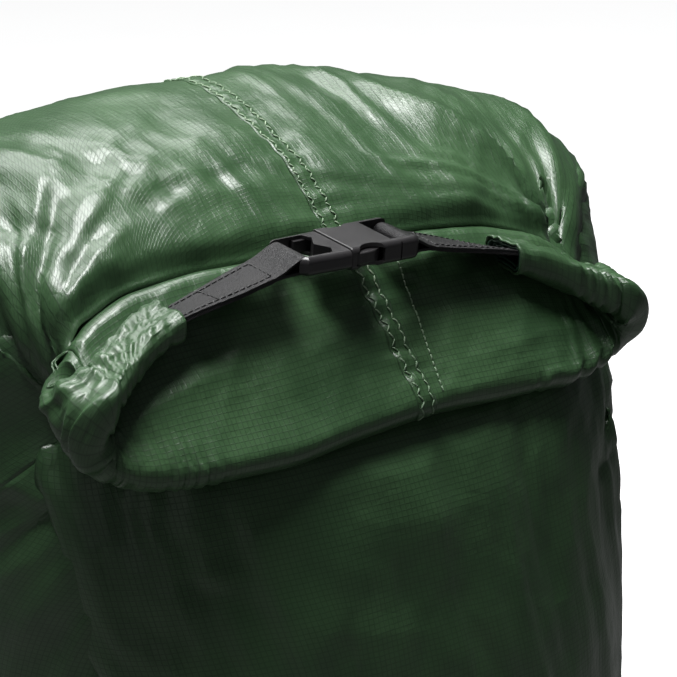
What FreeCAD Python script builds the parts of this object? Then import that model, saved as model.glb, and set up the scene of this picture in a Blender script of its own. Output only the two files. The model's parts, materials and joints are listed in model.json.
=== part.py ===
import FreeCAD, Part
import math
import os

import Sketcher
from FreeCAD import Placement, Rotation, Vector

# Roll-top stuff sack, rolled shut and clipped.
#
# World frame: millimetres, +Z up, origin at the centre of the round base where it meets the
# ground. +X runs along the rolled mouth and -Y is the front. The sack is a tube of coated fabric
# with one lengthways seam up its back and a round base. Its flat mouth is rolled forwards on to
# the front shoulder, both ends of the roll are turned up and inwards, and a side-release buckle
# joins them over the roll.
#
# Ring frame, for the roll and the tabs: X along the roll, Y across it towards the neck (the roll
# lies at negative Y), Z out of its upper face. Its origin is on the neck crease.
#
# Buckle frame: origin at the buckle's middle, X along the strap, Y across it, Z out of its upper
# face. The buckle lies nearly level, so each tab twists between the roll's end and its bar.

os.makedirs("parts", exist_ok=True)
doc = FreeCAD.newDocument("stuff_sack")

# ---------------------------------------------------------------- driving dimensions
SIZES = [
    # the sack
    ("bag_radius", 148.0, "radius of the filled sack"),
    ("wall_ply", 1.2, "wall of the fabric stand-in"),
    ("base_ply", 1.2, "thickness of the base disc"),
    ("base_disc_radius", 147.4, "radius of the base disc"),
    ("binding_inner", 148.15, "inside radius of the base binding"),
    ("binding_ply", 1.1, "thickness of the base binding"),
    ("binding_low", 1.6, "lower edge of the base binding"),
    ("binding_high", 9.6, "upper edge of the base binding"),
    ("thread_radius", 0.35, "radius of the sewing thread"),
    ("seam_offset", 20.0, "distance of the lengthways seam from the roll's middle"),
    ("seam_width", 10.0, "width of the felled seam"),
    ("tape_width", 22.0, "width of the seam tape"),
    # the ring frame
    ("crease_side", -20.0, "X of the roll's middle"),
    ("crease_back", -58.0, "Y of the neck crease"),
    ("crease_height", 480.0, "Z of the neck crease"),
    ("lean", 50.0, "forward lean of the roll, degrees"),
    ("buckle_lean", 6.0, "forward lean of the buckle, degrees"),
    # the roll
    ("roll_width", 78.0, "flattened width of the roll"),
    ("roll_ply", 13.0, "thickness of the roll"),
    ("roll_half", 126.0, "half length of the straight middle"),
    ("bend_radius", 7.5, "middle radius of each turned-up end"),
    ("end_place", 83.0, "distance of each end's tip from the roll's middle"),
    ("end_line", 21.0, "distance of each end's tip from the crease"),
    # the straps
    ("strap_line", 10.0, "distance of the buckle's middle from the crease"),
    ("bar_rise", 25.0, "height of the buckle's middle over the roll's middle plane"),
    ("strap_width", 20.0, "webbing width"),
    ("strap_ply", 1.2, "one ply of the tab"),
    ("strap_grip", 24.0, "length of tab held inside the roll"),
    ("loop_inner", 2.35, "inside radius of the tab's loop"),
    ("loop_run", 13.0, "length over which the tab's plies part"),
    # the buckle
    ("bar_radius", 2.0, "webbing bar radius"),
    ("bar_place", 26.0, "distance of each bar from the buckle's middle"),
    ("buckle_half", 14.0, "half width of the buckle"),
    ("buckle_ply", 9.5, "thickness of the receiver"),
    ("plug_ply", 8.0, "thickness of the plug's rails"),
    ("mouth_place", 5.6, "distance of the receiver's mouth left of the middle"),
    ("slot_half", 10.7, "half length of the webbing slots"),
    ("cavity_half", 12.4, "half width inside the receiver"),
    ("cavity_ply", 5.8, "height inside the receiver"),
    ("arm_ply", 4.9, "thickness of the latch arms"),
]
sheet = doc.addObject("Spreadsheet::Sheet", "sizes")
for row, (alias, value, note) in enumerate(SIZES, start=1):
    sheet.set("A%d" % row, alias.replace("_", " "))
    sheet.set("B%d" % row, str(value))
    sheet.set("C%d" % row, note)
    sheet.setAlias("B%d" % row, alias)
doc.recompute()


class Size(float):
    """A number that remembers the sheet expression it comes from.

    Its negative, a factor times it and a sum that starts with it remember theirs too.
    Any other arithmetic gives a plain number.
    """

    def __new__(cls, value, text):
        made = super().__new__(cls, value)
        made.text = text
        return made

    def __neg__(self):
        return -1 * self

    def __rmul__(self, factor):
        return Size(factor * float(self), "%r*(%s)" % (factor, self.text))

    def __add__(self, other):
        other_text = getattr(other, "text", repr(other))
        return Size(float(self) + float(other), "%s + %s" % (self.text, other_text))


def size(alias):
    return Size(float(sheet.get(alias)), "sizes." + alias)


def bind(obj, path, value):
    """Ties a property to the sheet where its value comes from there."""
    if isinstance(value, Size):
        obj.setExpression(path, value.text)


# ---------------------------------------------------------------- frames
crease_x = size("crease_side")
crease_y = size("crease_back")
crease_z = size("crease_height")
twist = size("lean") - size("buckle_lean")  # degrees, between the roll and the buckle

RING = Placement(
    Vector(crease_x, crease_y, crease_z), Rotation(Vector(1, 0, 0), size("lean"))
)
BUCKLE_TURN = Rotation(Vector(1, 0, 0), -twist)
BUCKLE = RING.multiply(
    Placement(Vector(0, -size("strap_line"), size("bar_rise")), BUCKLE_TURN)
)

# ---------------------------------------------------------------- finished pieces
pieces = {}  # label -> object to export


def keep(obj, label, placement=None):
    obj.Label = label
    if placement is not None:
        obj.Placement = placement
    pieces[label] = obj


def keep_shape(shape, label, placement=None):
    feature = doc.addObject("Part::Feature", label)
    feature.Shape = shape
    keep(feature, label, placement)


def keep_pair(left_shape, name):
    """Keeps a left piece of the ring frame and its mirror image on the right."""
    keep_shape(left_shape, "left_" + name, RING)
    right_shape = left_shape.mirror(Vector(0, 0, 0), Vector(1, 0, 0))
    keep_shape(right_shape, "right_" + name, RING)


# ---------------------------------------------------------------- sketches
ORIGIN = (-1, 1)  # the sketch's origin, as geometry and point
X_AXIS, Y_AXIS = -1, -2
START, END, CENTRE = 1, 2, 3


def sketch_on(body, name, role):
    sketch = body.newObject("Sketcher::SketchObject", name)
    plane = next(f for f in body.Origin.OriginFeatures if f.Role == role)
    sketch.AttachmentSupport = [(plane, "")]
    sketch.MapMode = "FlatFace"
    return sketch


def dimension(sketch, kind, *where, value):
    index = sketch.addConstraint(Sketcher.Constraint(kind, *where, float(value)))
    bind(sketch, "Constraints[%d]" % index, value)


def pin_point(sketch, geometry, point, x, y):
    """Holds a sketch point at (x, y)."""
    for kind, value, zero_axis in (("DistanceX", x, Y_AXIS), ("DistanceY", y, X_AXIS)):
        if abs(value) < 1e-9:
            sketch.addConstraint(
                Sketcher.Constraint("PointOnObject", geometry, point, zero_axis)
            )
        else:
            dimension(sketch, kind, *ORIGIN, geometry, point, value=value)


def polygon(sketch, points):
    corners = [Vector(x, y, 0) for x, y in points]
    first = sketch.GeometryCount
    count = len(corners)
    for i in range(count):
        sketch.addGeometry(Part.LineSegment(corners[i], corners[(i + 1) % count]), False)
    for i in range(count):
        following = first + (i + 1) % count
        sketch.addConstraint(
            Sketcher.Constraint("Coincident", first + i, END, following, START)
        )
    for i, (x, y) in enumerate(points):
        pin_point(sketch, first + i, START, x, y)


def rectangle(sketch, x0, x1, y0, y1):
    polygon(sketch, [(x0, y0), (x1, y0), (x1, y1), (x0, y1)])


def circle(sketch, x, y, radius):
    outline = Part.Circle(Vector(x, y, 0), Vector(0, 0, 1), radius)
    geometry = sketch.addGeometry(outline, False)
    pin_point(sketch, geometry, CENTRE, x, y)
    dimension(sketch, "Radius", geometry, value=radius)


def stadium(sketch, left, right, radius):
    """Slot outline on the sketch's X axis, its end arcs centred at left and right."""

    def line(start_x, end_x, y):
        segment = Part.LineSegment(Vector(start_x, y, 0), Vector(end_x, y, 0))
        return sketch.addGeometry(segment, False)

    def arc(x, start_angle):
        full = Part.Circle(Vector(x, 0, 0), Vector(0, 0, 1), radius)
        half_turn = Part.ArcOfCircle(full, start_angle, start_angle + math.pi)
        return sketch.addGeometry(half_turn, False)

    top = line(left, right, radius)
    right_arc = arc(right, -math.pi / 2)
    bottom = line(right, left, -radius)
    left_arc = arc(left, math.pi / 2)
    for rule in (
        ("Tangent", top, END, right_arc, END),
        ("Tangent", right_arc, START, bottom, START),
        ("Tangent", bottom, END, left_arc, END),
        ("Tangent", left_arc, START, top, START),
        ("Horizontal", top),
        ("PointOnObject", right_arc, CENTRE, X_AXIS),
    ):
        sketch.addConstraint(Sketcher.Constraint(*rule))
    dimension(sketch, "Radius", right_arc, value=radius)
    dimension(sketch, "DistanceX", *ORIGIN, left_arc, CENTRE, value=left)
    dimension(sketch, "DistanceX", *ORIGIN, right_arc, CENTRE, value=right)


def symmetric(lower):
    """Closes the lower half of an outline with its mirror image over the X axis."""
    return lower + [(x, -y) for x, y in reversed(lower) if y != 0]


# ---------------------------------------------------------------- bodies
def body_of(label):
    body = doc.addObject("PartDesign::Body", label)
    body.Label = label
    return body


def extrude(kind, body, sketch, length, name, midplane):
    feature = body.newObject("PartDesign::" + kind, name)
    feature.Profile = sketch
    feature.Length = float(length)
    bind(feature, "Length", length)
    feature.Midplane = midplane
    doc.recompute()


def pad(body, sketch, length, name="Pad", midplane=True):
    extrude("Pad", body, sketch, length, name, midplane)


def pocket(body, sketch, length, name):
    before = body.Shape.Volume
    extrude("Pocket", body, sketch, length, name, midplane=True)
    if not body.Shape.Volume < before - 1e-3:
        raise RuntimeError("pocket %s cuts nothing" % name)


def revolved_ring(label, x0, x1, z0, z1):
    """Rectangular section turned about the Z axis."""
    body = body_of(label)
    sketch = sketch_on(body, label + "_section", "XZ_Plane")
    rectangle(sketch, x0, x1, z0, z1)
    turn = body.newObject("PartDesign::Revolution", label + "_turn")
    turn.Profile = sketch
    turn.ReferenceAxis = (sketch, ["V_Axis"])
    turn.Angle = 360
    doc.recompute()
    keep(body, label)


def edges_where(shape, test):
    """Names of the edges whose middle passes the test."""
    found = []
    for number, edge in enumerate(shape.Edges, start=1):
        # guards against a degenerate edge, which has no point to give
        try:
            middle = edge.valueAt((edge.FirstParameter + edge.LastParameter) / 2)
        except Exception:
            continue
        if test(middle):
            found.append("Edge%d" % number)
    return found


def fillet(body, name, radius, test):
    """Rounds the chosen edges of the body, or leaves it as it was if the fillet fails."""
    base = body.Tip
    names = edges_where(base.Shape, test)
    if not names:
        raise RuntimeError("no edges for " + name)
    rounding = body.newObject("PartDesign::Fillet", name)
    rounding.Base = (base, names)
    rounding.Radius = radius
    doc.recompute()
    failed = "Invalid" in rounding.State or "Error" in rounding.State
    if failed or rounding.Shape.isNull() or not rounding.Shape.isValid():
        body.removeObject(rounding)
        doc.removeObject(rounding.Name)
        body.Tip = base
        doc.recompute()


def on_face(point, ply):
    """True if a point lies on the upper or lower face of a plate centred on Z = 0."""
    return abs(abs(point.z) - ply / 2) < 0.01


# ---------------------------------------------------------------- the sack's form
bag_radius = size("bag_radius")
# Level curves of the filled sack: height, half width in X, front Y and back Y.
# The front shoulder falls away under the roll and the back shoulder stays full.
LEVELS = [
    (1.45, bag_radius, -bag_radius, bag_radius),
    (100.0, bag_radius, -bag_radius, bag_radius),
    (280.0, bag_radius, -bag_radius, bag_radius),
    (312.0, bag_radius, -146.6, bag_radius),
    (340.0, bag_radius, -141.5, bag_radius),
    (365.0, 147.8, -133.4, 147.6),
    (385.0, 147.3, -124.0, 146.6),
    (402.0, 145.8, -113.4, 144.4),
    (418.0, 143.2, -100.2, 142.0),
    (432.0, 140.0, -88.4, 138.6),
    (446.0, 135.2, -76.6, 134.0),
    (458.0, 129.6, -66.6, 128.6),
    (468.0, 123.0, -58.2, 122.6),
    (477.0, 115.4, -49.0, 115.4),
    (486.0, 105.6, -36.0, 106.4),
    (494.0, 94.0, -22.4, 96.2),
    (501.0, 81.0, -9.0, 85.4),
    (507.0, 66.4, 4.6, 74.0),
    (511.6, 50.6, 18.0, 62.8),
    (514.4, 34.4, 30.0, 52.8),
    (515.6, 20.0, 36.6, 46.4),
]
SHOULDER_Z = LEVELS[2][0]
TOP_Z = LEVELS[-1][0]
CURVE_POINTS = 28  # points on each level curve
SIDE_LOSS = 0.3  # share of the sideways growth lost where the surface lies flat
INNER_DROP = 1.0  # how far the inner forms run below the outer form's lowest level


def level_curve(z, half_width, front, back, growth):
    middle_y = (front + back) / 2.0
    half_depth = (back - front) / 2.0
    points = []
    for i in range(CURVE_POINTS):
        angle = 2 * math.pi * i / CURVE_POINTS
        x = (half_width + growth) * math.cos(angle)
        y = middle_y + (half_depth + growth) * math.sin(angle)
        points.append(Vector(x, y, z))
    curve = Part.BSplineCurve()
    curve.interpolate(Points=points, PeriodicFlag=True)
    return Part.Wire([curve.toShape()])


def sack_solid(growth, drop=0.0):
    """The sack's outer form grown by growth, with its lowest level moved down by drop."""
    wires = []
    for i, (z, half_width, front, back) in enumerate(LEVELS):
        # over the shoulders the growth turns upwards as the surface does
        climb = max(0.0, (z - SHOULDER_Z) / (TOP_Z - SHOULDER_Z))
        tilt = 0.0
        if half_width < bag_radius:
            tilt = (1.0 - (half_width / bag_radius) ** 2) ** 0.5
        level = z - (drop if i == 0 else 0.0) + growth * max(climb * climb, tilt)
        sideways = growth * (1.0 - SIDE_LOSS * tilt)
        wires.append(level_curve(level, half_width, front, back, sideways))
    return Part.makeLoft(wires, True, True)


# ---------------------------------------------------------------- the panel and the neck
wall_ply = size("wall_ply")
FOLD_LENGTH, FOLD_DEPTH, FOLD_HEIGHT = 166.0, 5.0, 15.0
SLOT_LENGTH, SLOT_DEPTH, SLOT_HEIGHT = FOLD_LENGTH + 2.0, 10.0, 60.0


def body_panel():
    """The fabric shell, open below, with a slot in its top for the neck."""
    corner = Vector(
        crease_x - SLOT_LENGTH / 2, crease_y + 1.0, crease_z - SLOT_HEIGHT / 2
    )
    neck_slot = Part.makeBox(SLOT_LENGTH, SLOT_DEPTH, SLOT_HEIGHT, corner)
    shell = sack_solid(0.0).cut(sack_solid(-wall_ply, INNER_DROP)).cut(neck_slot)
    keep_shape(shell.Solids[0] if len(shell.Solids) == 1 else shell, "body_panel")


def neck_fold():
    """Both faces of the panel laid flat together, in the slot behind the crease."""
    fold = doc.addObject("Part::Box", "neck_fold")
    fold.Length, fold.Width, fold.Height = FOLD_LENGTH, FOLD_DEPTH, FOLD_HEIGHT
    corner = Vector(crease_x - FOLD_LENGTH / 2, crease_y + 3.3, crease_z - 18.0)
    keep(fold, "neck_fold", Placement(corner, Rotation()))


body_panel()
neck_fold()

# ---------------------------------------------------------------- the lengthways seam
# A felled seam up the back wall and over the back shoulder, two rows of thread outside it
# and a sealing tape inside the wall. The fell and its thread show again on the roll.
seam_offset = size("seam_offset")
seam_width = size("seam_width")
seam_x = seam_offset + crease_x
FELL_INNER, FELL_OUTER = 0.06, 0.95  # growth of the fell's two faces over the fabric
ROW_WIDTH = 0.5
ROW_OUTER = 1.5  # growth of the thread's outer face
ROW_PLACES = (-seam_width / 2.0 + 1.8, seam_width / 2.0 - 1.8)  # from the seam's middle
TAPE_GAP = 0.08  # between the fabric and the sealing tape
TAPE_INNER = 0.4  # from the fabric to the tape's inner face

# what lies behind the neck: the back wall and the back shoulder
back_half = Part.makeBox(600, 400, 700, Vector(-300, 20.0, 0)).fuse(
    Part.makeBox(600, 400, 200, Vector(-300, crease_y + 14.0, crease_z + 2.0))
)


def back_strip(layer, middle_x, width, behind_crease, bottom):
    """Upright strip of a layer of the sack, behind the neck."""
    corner = Vector(middle_x - width / 2.0, crease_y + behind_crease, bottom)
    slab = Part.makeBox(width, 400.0, 700.0, corner)
    strip = layer.common(slab).common(back_half)
    return max(strip.Solids, key=lambda solid: solid.Volume)


def side_seam():
    fell = sack_solid(FELL_OUTER).cut(sack_solid(FELL_INNER))
    keep_shape(back_strip(fell, seam_x, seam_width, 14.0, 10.4), "side_seam_fell")

    thread = sack_solid(ROW_OUTER).cut(sack_solid(1.02))
    rows = [
        back_strip(thread, seam_x + place, ROW_WIDTH, 15.0, 11.0) for place in ROW_PLACES
    ]
    keep_shape(Part.makeCompound(rows), "side_seam_thread")

    tape = sack_solid(-wall_ply - TAPE_GAP, INNER_DROP).cut(
        sack_solid(-wall_ply - TAPE_INNER, INNER_DROP)
    )
    strip = back_strip(tape, seam_x, size("tape_width"), 16.0, 12.0)
    keep_shape(strip, "side_seam_tape")


side_seam()

# ---------------------------------------------------------------- the base
base_ply = size("base_ply")
binding_inner = size("binding_inner")
binding_outer = binding_inner + size("binding_ply")
thread_radius = size("thread_radius")
BASE_THREAD_Z = 6.6
BASE_THREAD_GAP = 0.03  # between the binding and its thread
BASE_TAPE_INNER, BASE_TAPE_OUTER, BASE_TAPE_TOP = 130.0, 145.6, 1.62


def base_panel():
    body = body_of("base_panel")
    sketch = sketch_on(body, "base_outline", "XY_Plane")
    circle(sketch, 0.0, 0.0, size("base_disc_radius"))
    pad(body, sketch, base_ply, midplane=False)
    fillet(body, "base_edge", 0.4, lambda middle: middle.z < 0.01)
    keep(body, "base_panel")


def base_seam_thread():
    thread = doc.addObject("Part::Torus", "base_seam_thread")
    bind(thread, "Radius1", binding_outer + thread_radius + BASE_THREAD_GAP)
    bind(thread, "Radius2", thread_radius)
    keep(thread, "base_seam_thread", Placement(Vector(0, 0, BASE_THREAD_Z), Rotation()))


base_panel()
revolved_ring(
    "base_seam_binding", binding_inner, binding_outer, size("binding_low"), size("binding_high")
)
base_seam_thread()
revolved_ring(
    "base_seam_tape", BASE_TAPE_INNER, BASE_TAPE_OUTER, base_ply + TAPE_GAP, BASE_TAPE_TOP
)

# ---------------------------------------------------------------- the roll
roll_width = size("roll_width")
roll_half = size("roll_half")
bend_radius = size("bend_radius")
roll_round = 0.5 * size("roll_ply")  # radius of the roll's rounded edges

STIFFENER_FRONT, STIFFENER_BACK, STIFFENER_HALF_PLY = -49.0, -29.0, 0.6
STIFFENER_LENGTH = 250.0
STIFFENER_SIDE_GAP, STIFFENER_FACE_GAP = 0.4, 0.15  # room round it in its slot

# the tip of the left end, in the ring frame; the turned-up ends lie a bend's width higher
tip_x = -size("end_place")
tip_line = size("end_line")
tip_z = 2 * bend_radius
tip = Vector(tip_x, -tip_line, tip_z)

strap_ply = size("strap_ply")
strap_half = size("strap_width") / 2.0
strap_grip = size("strap_grip")


def rolled_mouth():
    """The straight middle of the roll, with a slot through it for the stiffener."""
    body = body_of("rolled_mouth")
    sketch = sketch_on(body, "roll_section", "YZ_Plane")
    stadium(sketch, -roll_width + roll_round, -roll_round, roll_round)
    pad(body, sketch, 2 * roll_half)
    sketch = sketch_on(body, "stiffener_slot", "YZ_Plane")
    half_height = STIFFENER_HALF_PLY + STIFFENER_FACE_GAP
    rectangle(
        sketch,
        STIFFENER_FRONT - STIFFENER_SIDE_GAP,
        STIFFENER_BACK + STIFFENER_SIDE_GAP,
        -half_height,
        half_height,
    )
    pocket(body, sketch, 2.2 * roll_half, "stiffener_way")
    keep(body, "rolled_mouth", RING)


def mouth_stiffener():
    body = body_of("mouth_stiffener")
    sketch = sketch_on(body, "stiffener_section", "YZ_Plane")
    rectangle(
        sketch, STIFFENER_FRONT, STIFFENER_BACK, -STIFFENER_HALF_PLY, STIFFENER_HALF_PLY
    )
    pad(body, sketch, STIFFENER_LENGTH)
    keep(body, "mouth_stiffener", RING)


def roll_outline(x, near, far, half_ply, z=0.0):
    """Flattened section of the roll, from near to far in front of the crease."""
    back_y, front_y = -near - half_ply, -far + half_ply
    top_front, top_back = Vector(x, front_y, z + half_ply), Vector(x, back_y, z + half_ply)
    low_back, low_front = Vector(x, back_y, z - half_ply), Vector(x, front_y, z - half_ply)
    return Part.Wire(
        [
            Part.LineSegment(top_front, top_back).toShape(),
            Part.Arc(top_back, Vector(x, -near, z), low_back).toShape(),
            Part.LineSegment(low_back, low_front).toShape(),
            Part.Arc(low_front, Vector(x, -far, z), top_front).toShape(),
        ]
    )


def roll_bend(label, side):
    """A turned-up end of the roll: its section swept half round the bend's centre."""
    x = side * (roll_half + 0.15)
    face = Part.Face(roll_outline(x, 0.0, roll_width, roll_round))
    bend = face.revolve(Vector(x, 0, bend_radius), Vector(0, -side, 0), 180.0)
    keep_shape(bend.Solids[0], label, RING)


def roll_ends():
    """The straight ends over the roll: each tapers to its tip, where a slot holds the tab."""
    sections = [
        roll_outline(-roll_half + 0.2, 1.0, roll_width - 1.0, 6.2, tip_z),
        roll_outline(tip_x - strap_grip, tip_line - 18.0, tip_line + 22.0, 5.7, tip_z),
        roll_outline(tip_x, tip_line - 13.0, tip_line + 13.0, 5.0, tip_z),
    ]
    side_gap, face_gap, end_gap, overrun = 0.3, 0.2, 0.5, 1.5
    slot = Part.makeBox(
        strap_grip + end_gap + overrun,
        2 * (strap_half + side_gap),
        2 * (strap_ply + face_gap),
        Vector(
            tip_x - strap_grip - end_gap,
            -tip_line - strap_half - side_gap,
            tip_z - strap_ply - face_gap,
        ),
    )
    end = Part.makeLoft(sections, True, True).cut(slot)
    keep_pair(end.Solids[0], "roll_end")


def roll_layer(middle_x, width, inner, outer):
    """Strip round the roll's upper face, between two growths of its section."""

    def tube(x0, x1, growth):
        outline = roll_outline(x0, -growth, roll_width + growth, roll_round + growth)
        return Part.Face(outline).extrude(Vector(x1 - x0, 0, 0))

    upper = Part.makeBox(400, roll_width - 2.0, 30, Vector(-200, -roll_width - 3.0, 0.0))
    strip = tube(middle_x - width / 2.0, middle_x + width / 2.0, outer)
    return strip.cut(tube(-90, 90, inner)).common(upper).Solids


def roll_seam():
    fell = roll_layer(seam_offset, seam_width, FELL_INNER, FELL_OUTER)
    keep_shape(fell[0], "roll_seam_fell", RING)
    rows = []
    for place in ROW_PLACES:
        rows += roll_layer(seam_offset + place, ROW_WIDTH, 1.0, ROW_OUTER)
    keep_shape(Part.makeCompound(rows), "roll_seam_thread", RING)


rolled_mouth()
mouth_stiffener()
roll_bend("left_roll_bend", -1)
roll_bend("right_roll_bend", 1)
roll_ends()
roll_seam()

# ---------------------------------------------------------------- the tabs
# The left tab runs from the roll's tip to the buckle's bar, twisting as it goes.
run_axis = Vector(-size("bar_place"), -size("strap_line"), size("bar_rise")).sub(tip)
run_length = run_axis.Length
run_axis.normalize()
bar_axis = BUCKLE_TURN.multVec(Vector(0, 1, 0))
side_axis = bar_axis.sub(run_axis * bar_axis.dot(run_axis))
side_axis.normalize()
up_axis = run_axis.cross(side_axis)
free_length = run_length - size("loop_run")  # from the tip to where the plies part
TWIST_STEPS = 8
INNER_START = 3.2  # from the parting of the plies to the narrow end of the gap
INNER_START_HALF = 0.05  # half height of that narrow end

STITCH_PITCH, STITCH_LENGTH = 2.9, 2.0
STITCH_INSET = 1.5  # from either end of the free length
STITCH_EDGE = 2.4  # from the tab's edge
STITCH_CROSS = 0.42  # place of the cross row, as a share of the stitched length
STITCH_GAP = 0.1  # between the webbing and the thread


def strap_frame(run):
    """Middle, width direction and upward direction of the tab at a distance from the tip."""
    share = min(1.0, max(0.0, run / free_length))
    share = share * share * (3.0 - 2.0 * share)
    turn = Rotation(run_axis, twist * (1.0 - share))
    return tip.add(run_axis * run), turn.multVec(side_axis), turn.multVec(up_axis)


def strap_section(middle, across, up):
    corners = [
        middle.add(across * (strap_half * i)).add(up * (strap_ply * j))
        for i, j in ((-1, -1), (1, -1), (1, 1), (-1, 1))
    ]
    return Part.makePolygon(corners + [corners[0]])


def loop_solid(start, start_half, radius):
    """Wedge that widens from start and rounds the bar, extruded over the tab's width."""
    # the upper side leaves the start point and touches the circle round the bar
    ahead, below = run_length - start, -start_half
    distance = math.hypot(ahead, below)
    angle = math.atan2(below, ahead) + math.asin(radius / distance)
    length = math.sqrt(distance * distance - radius * radius)
    touch_run = start + length * math.cos(angle)
    touch_up = start_half + length * math.sin(angle)

    def point(run, up):
        return tip.add(run_axis * run).add(side_axis * (-strap_half)).add(up_axis * up)

    low_start, high_start = point(start, -start_half), point(start, start_half)
    high_touch, low_touch = point(touch_run, touch_up), point(touch_run, -touch_up)
    wire = Part.Wire(
        [
            Part.LineSegment(low_start, high_start).toShape(),
            Part.LineSegment(high_start, high_touch).toShape(),
            Part.Arc(high_touch, point(run_length + radius, 0), low_touch).toShape(),
            Part.LineSegment(low_touch, low_start).toShape(),
        ]
    )
    return Part.Face(wire).extrude(side_axis * (2 * strap_half))


def tangent_loop():
    """The part of the tab that goes round the bar, with the gap between its plies."""
    inner_radius = size("loop_inner")
    outer = loop_solid(free_length, strap_ply, inner_radius + strap_ply)
    # the gap's sides aim from the tab's middle plane, so its narrow end is built apart
    start = free_length + INNER_START
    distance = run_length - start
    angle = math.asin(inner_radius / distance)
    length = math.sqrt(distance * distance - inner_radius * inner_radius)
    touch_run = start + length * math.cos(angle)
    touch_up = length * math.sin(angle)

    def point(run, up):
        return tip.add(run_axis * run).add(side_axis * (-strap_half)).add(up_axis * up)

    high_start, low_start = point(start, INNER_START_HALF), point(start, -INNER_START_HALF)
    high_touch, low_touch = point(touch_run, touch_up), point(touch_run, -touch_up)
    wire = Part.Wire(
        [
            Part.LineSegment(high_start, high_touch).toShape(),
            Part.Arc(high_touch, point(run_length + inner_radius, 0), low_touch).toShape(),
            Part.LineSegment(low_touch, low_start).toShape(),
            Part.LineSegment(low_start, high_start).toShape(),
        ]
    )
    return outer.cut(Part.Face(wire).extrude(side_axis * (2 * strap_half)))


def tabs():
    """Folded tabs: two plies held in the roll's end, parting round the webbing bar."""
    corner = Vector(tip_x - strap_grip, -tip_line - strap_half, tip_z - strap_ply)
    gripped = Part.makeBox(strap_grip, 2 * strap_half, 2 * strap_ply, corner)
    sections = [strap_section(tip, Vector(0, 1, 0), Vector(0, 0, 1))]
    for step in range(1, TWIST_STEPS + 1):
        sections.append(strap_section(*strap_frame(free_length * step / TWIST_STEPS)))
    free = Part.makeLoft(sections, True, True)
    keep_pair(gripped.fuse(free).fuse(tangent_loop()).Solids[0], "tab")


def stitch(run, across, face):
    """One end of a stitch, on the upper (1) or lower (-1) face of the tab."""
    middle, width_axis, up = strap_frame(run)
    height = face * (strap_ply + thread_radius + STITCH_GAP)
    return middle.add(width_axis * across).add(up * height)


def tab_threads():
    """Box stitching on both faces of each tab: one short bead for each stitch."""
    first, last = STITCH_INSET, free_length - STITCH_INSET
    edge = strap_half - STITCH_EDGE
    cross = first + (last - first) * STITCH_CROSS
    # rows from end to end, each end as distance along the tab and across it
    rows = [
        ((first, edge), (last, edge)),
        ((first, -edge), (last, -edge)),
        ((last, -edge), (last, edge)),
        ((cross, -edge), (cross, edge)),
    ]
    beads = []
    for (run0, across0), (run1, across1) in rows:
        length = math.hypot(run1 - run0, across1 - across0)
        count = int(length // STITCH_PITCH)
        run_step, across_step = (run1 - run0) / length, (across1 - across0) / length
        margin = (length - count * STITCH_PITCH + STITCH_PITCH - STITCH_LENGTH) / 2.0
        for k in range(count):
            begin = margin + STITCH_PITCH * k
            for face in (1, -1):
                start, end = [
                    stitch(run0 + run_step * along, across0 + across_step * along, face)
                    for along in (begin, begin + STITCH_LENGTH)
                ]
                axis = end.sub(start)
                beads.append(Part.makeCylinder(thread_radius, axis.Length, start, axis))
    keep_pair(Part.makeCompound(beads), "tab_thread")


tabs()
tab_threads()

# ---------------------------------------------------------------- the buckle
# Drawn in the buckle frame: the receiver on the right (+X), the plug on the left.
bar_place = size("bar_place")
buckle_half = size("buckle_half")
buckle_ply = size("buckle_ply")
plug_ply = size("plug_ply")
mouth_place = size("mouth_place")
slot_half = size("slot_half")
cavity_half = size("cavity_half")
cavity_ply = size("cavity_ply")
arm_ply = size("arm_ply")
BUCKLE_END = 29.2  # distance of each outer end from the buckle's middle
CLEAR_X, CLEAR_Y = 32.0, 16.0  # beyond the buckle's ends and sides
THROUGH = 12.0  # depth of a cut that passes right through
BAR_LENGTH = 24.0


def webbing_bar(body, x):
    sketch = sketch_on(body, "bar_section", "XZ_Plane")
    circle(sketch, x, 0.0, size("bar_radius"))
    pad(body, sketch, BAR_LENGTH, "bar")


def buckle_receiver():
    body = body_of("buckle_receiver")
    sketch = sketch_on(body, "receiver_outline", "XY_Plane")
    rectangle(sketch, -mouth_place, BUCKLE_END, -buckle_half, buckle_half)
    pad(body, sketch, buckle_ply)
    # the outer edges are rounded while the block is still whole;
    # its upright edges are the ones with their middle at Z = 0
    fillet(body, "corner_round", 3.6, lambda middle: abs(middle.z) < 0.01 and middle.x > 20)
    fillet(
        body,
        "crown_round",
        2.3,
        lambda middle: on_face(middle, buckle_ply) and (abs(middle.y) > 10.0 or middle.x > 26),
    )

    # each cut: name, its rectangles as (x0, x1, y0, y1), and its full height
    def cut(name, rectangles, height):
        outline = sketch_on(body, name + "_outline", "XY_Plane")
        for bounds in rectangles:
            rectangle(outline, *bounds)
        pocket(body, outline, height, name)

    cut("hollow", [(-7.0, 13.2, -cavity_half, cavity_half)], cavity_ply)
    cut("windows", [(-3.2, 10.6, -CLEAR_Y, CLEAR_Y)], cavity_ply)
    # round cut-outs in both faces over each side window
    sketch = sketch_on(body, "finger_outline", "XY_Plane")
    for y in (17.6, -17.6):
        circle(sketch, 3.9, y, 7.2)
    pocket(body, sketch, THROUGH, "finger_ways")
    cut("webbing_slot", [(15.4, 23.9, -slot_half, slot_half)], THROUGH)
    # the tail behind the slot is cut away and comes back as a round bar
    cut("tail_way", [(23.8, CLEAR_X, -slot_half, slot_half)], THROUGH)
    webbing_bar(body, bar_place)
    grooves = [(18.6, 19.3, 13.45, CLEAR_Y), (18.6, 19.3, -CLEAR_Y, -13.45)]
    cut("rail_grooves", grooves, THROUGH)
    fillet(
        body,
        "mouth_edge",
        0.6,
        lambda middle: abs(middle.x + mouth_place) < 0.02 and abs(middle.z) > 4.0,
    )
    keep(body, "buckle_receiver", BUCKLE)


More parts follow.
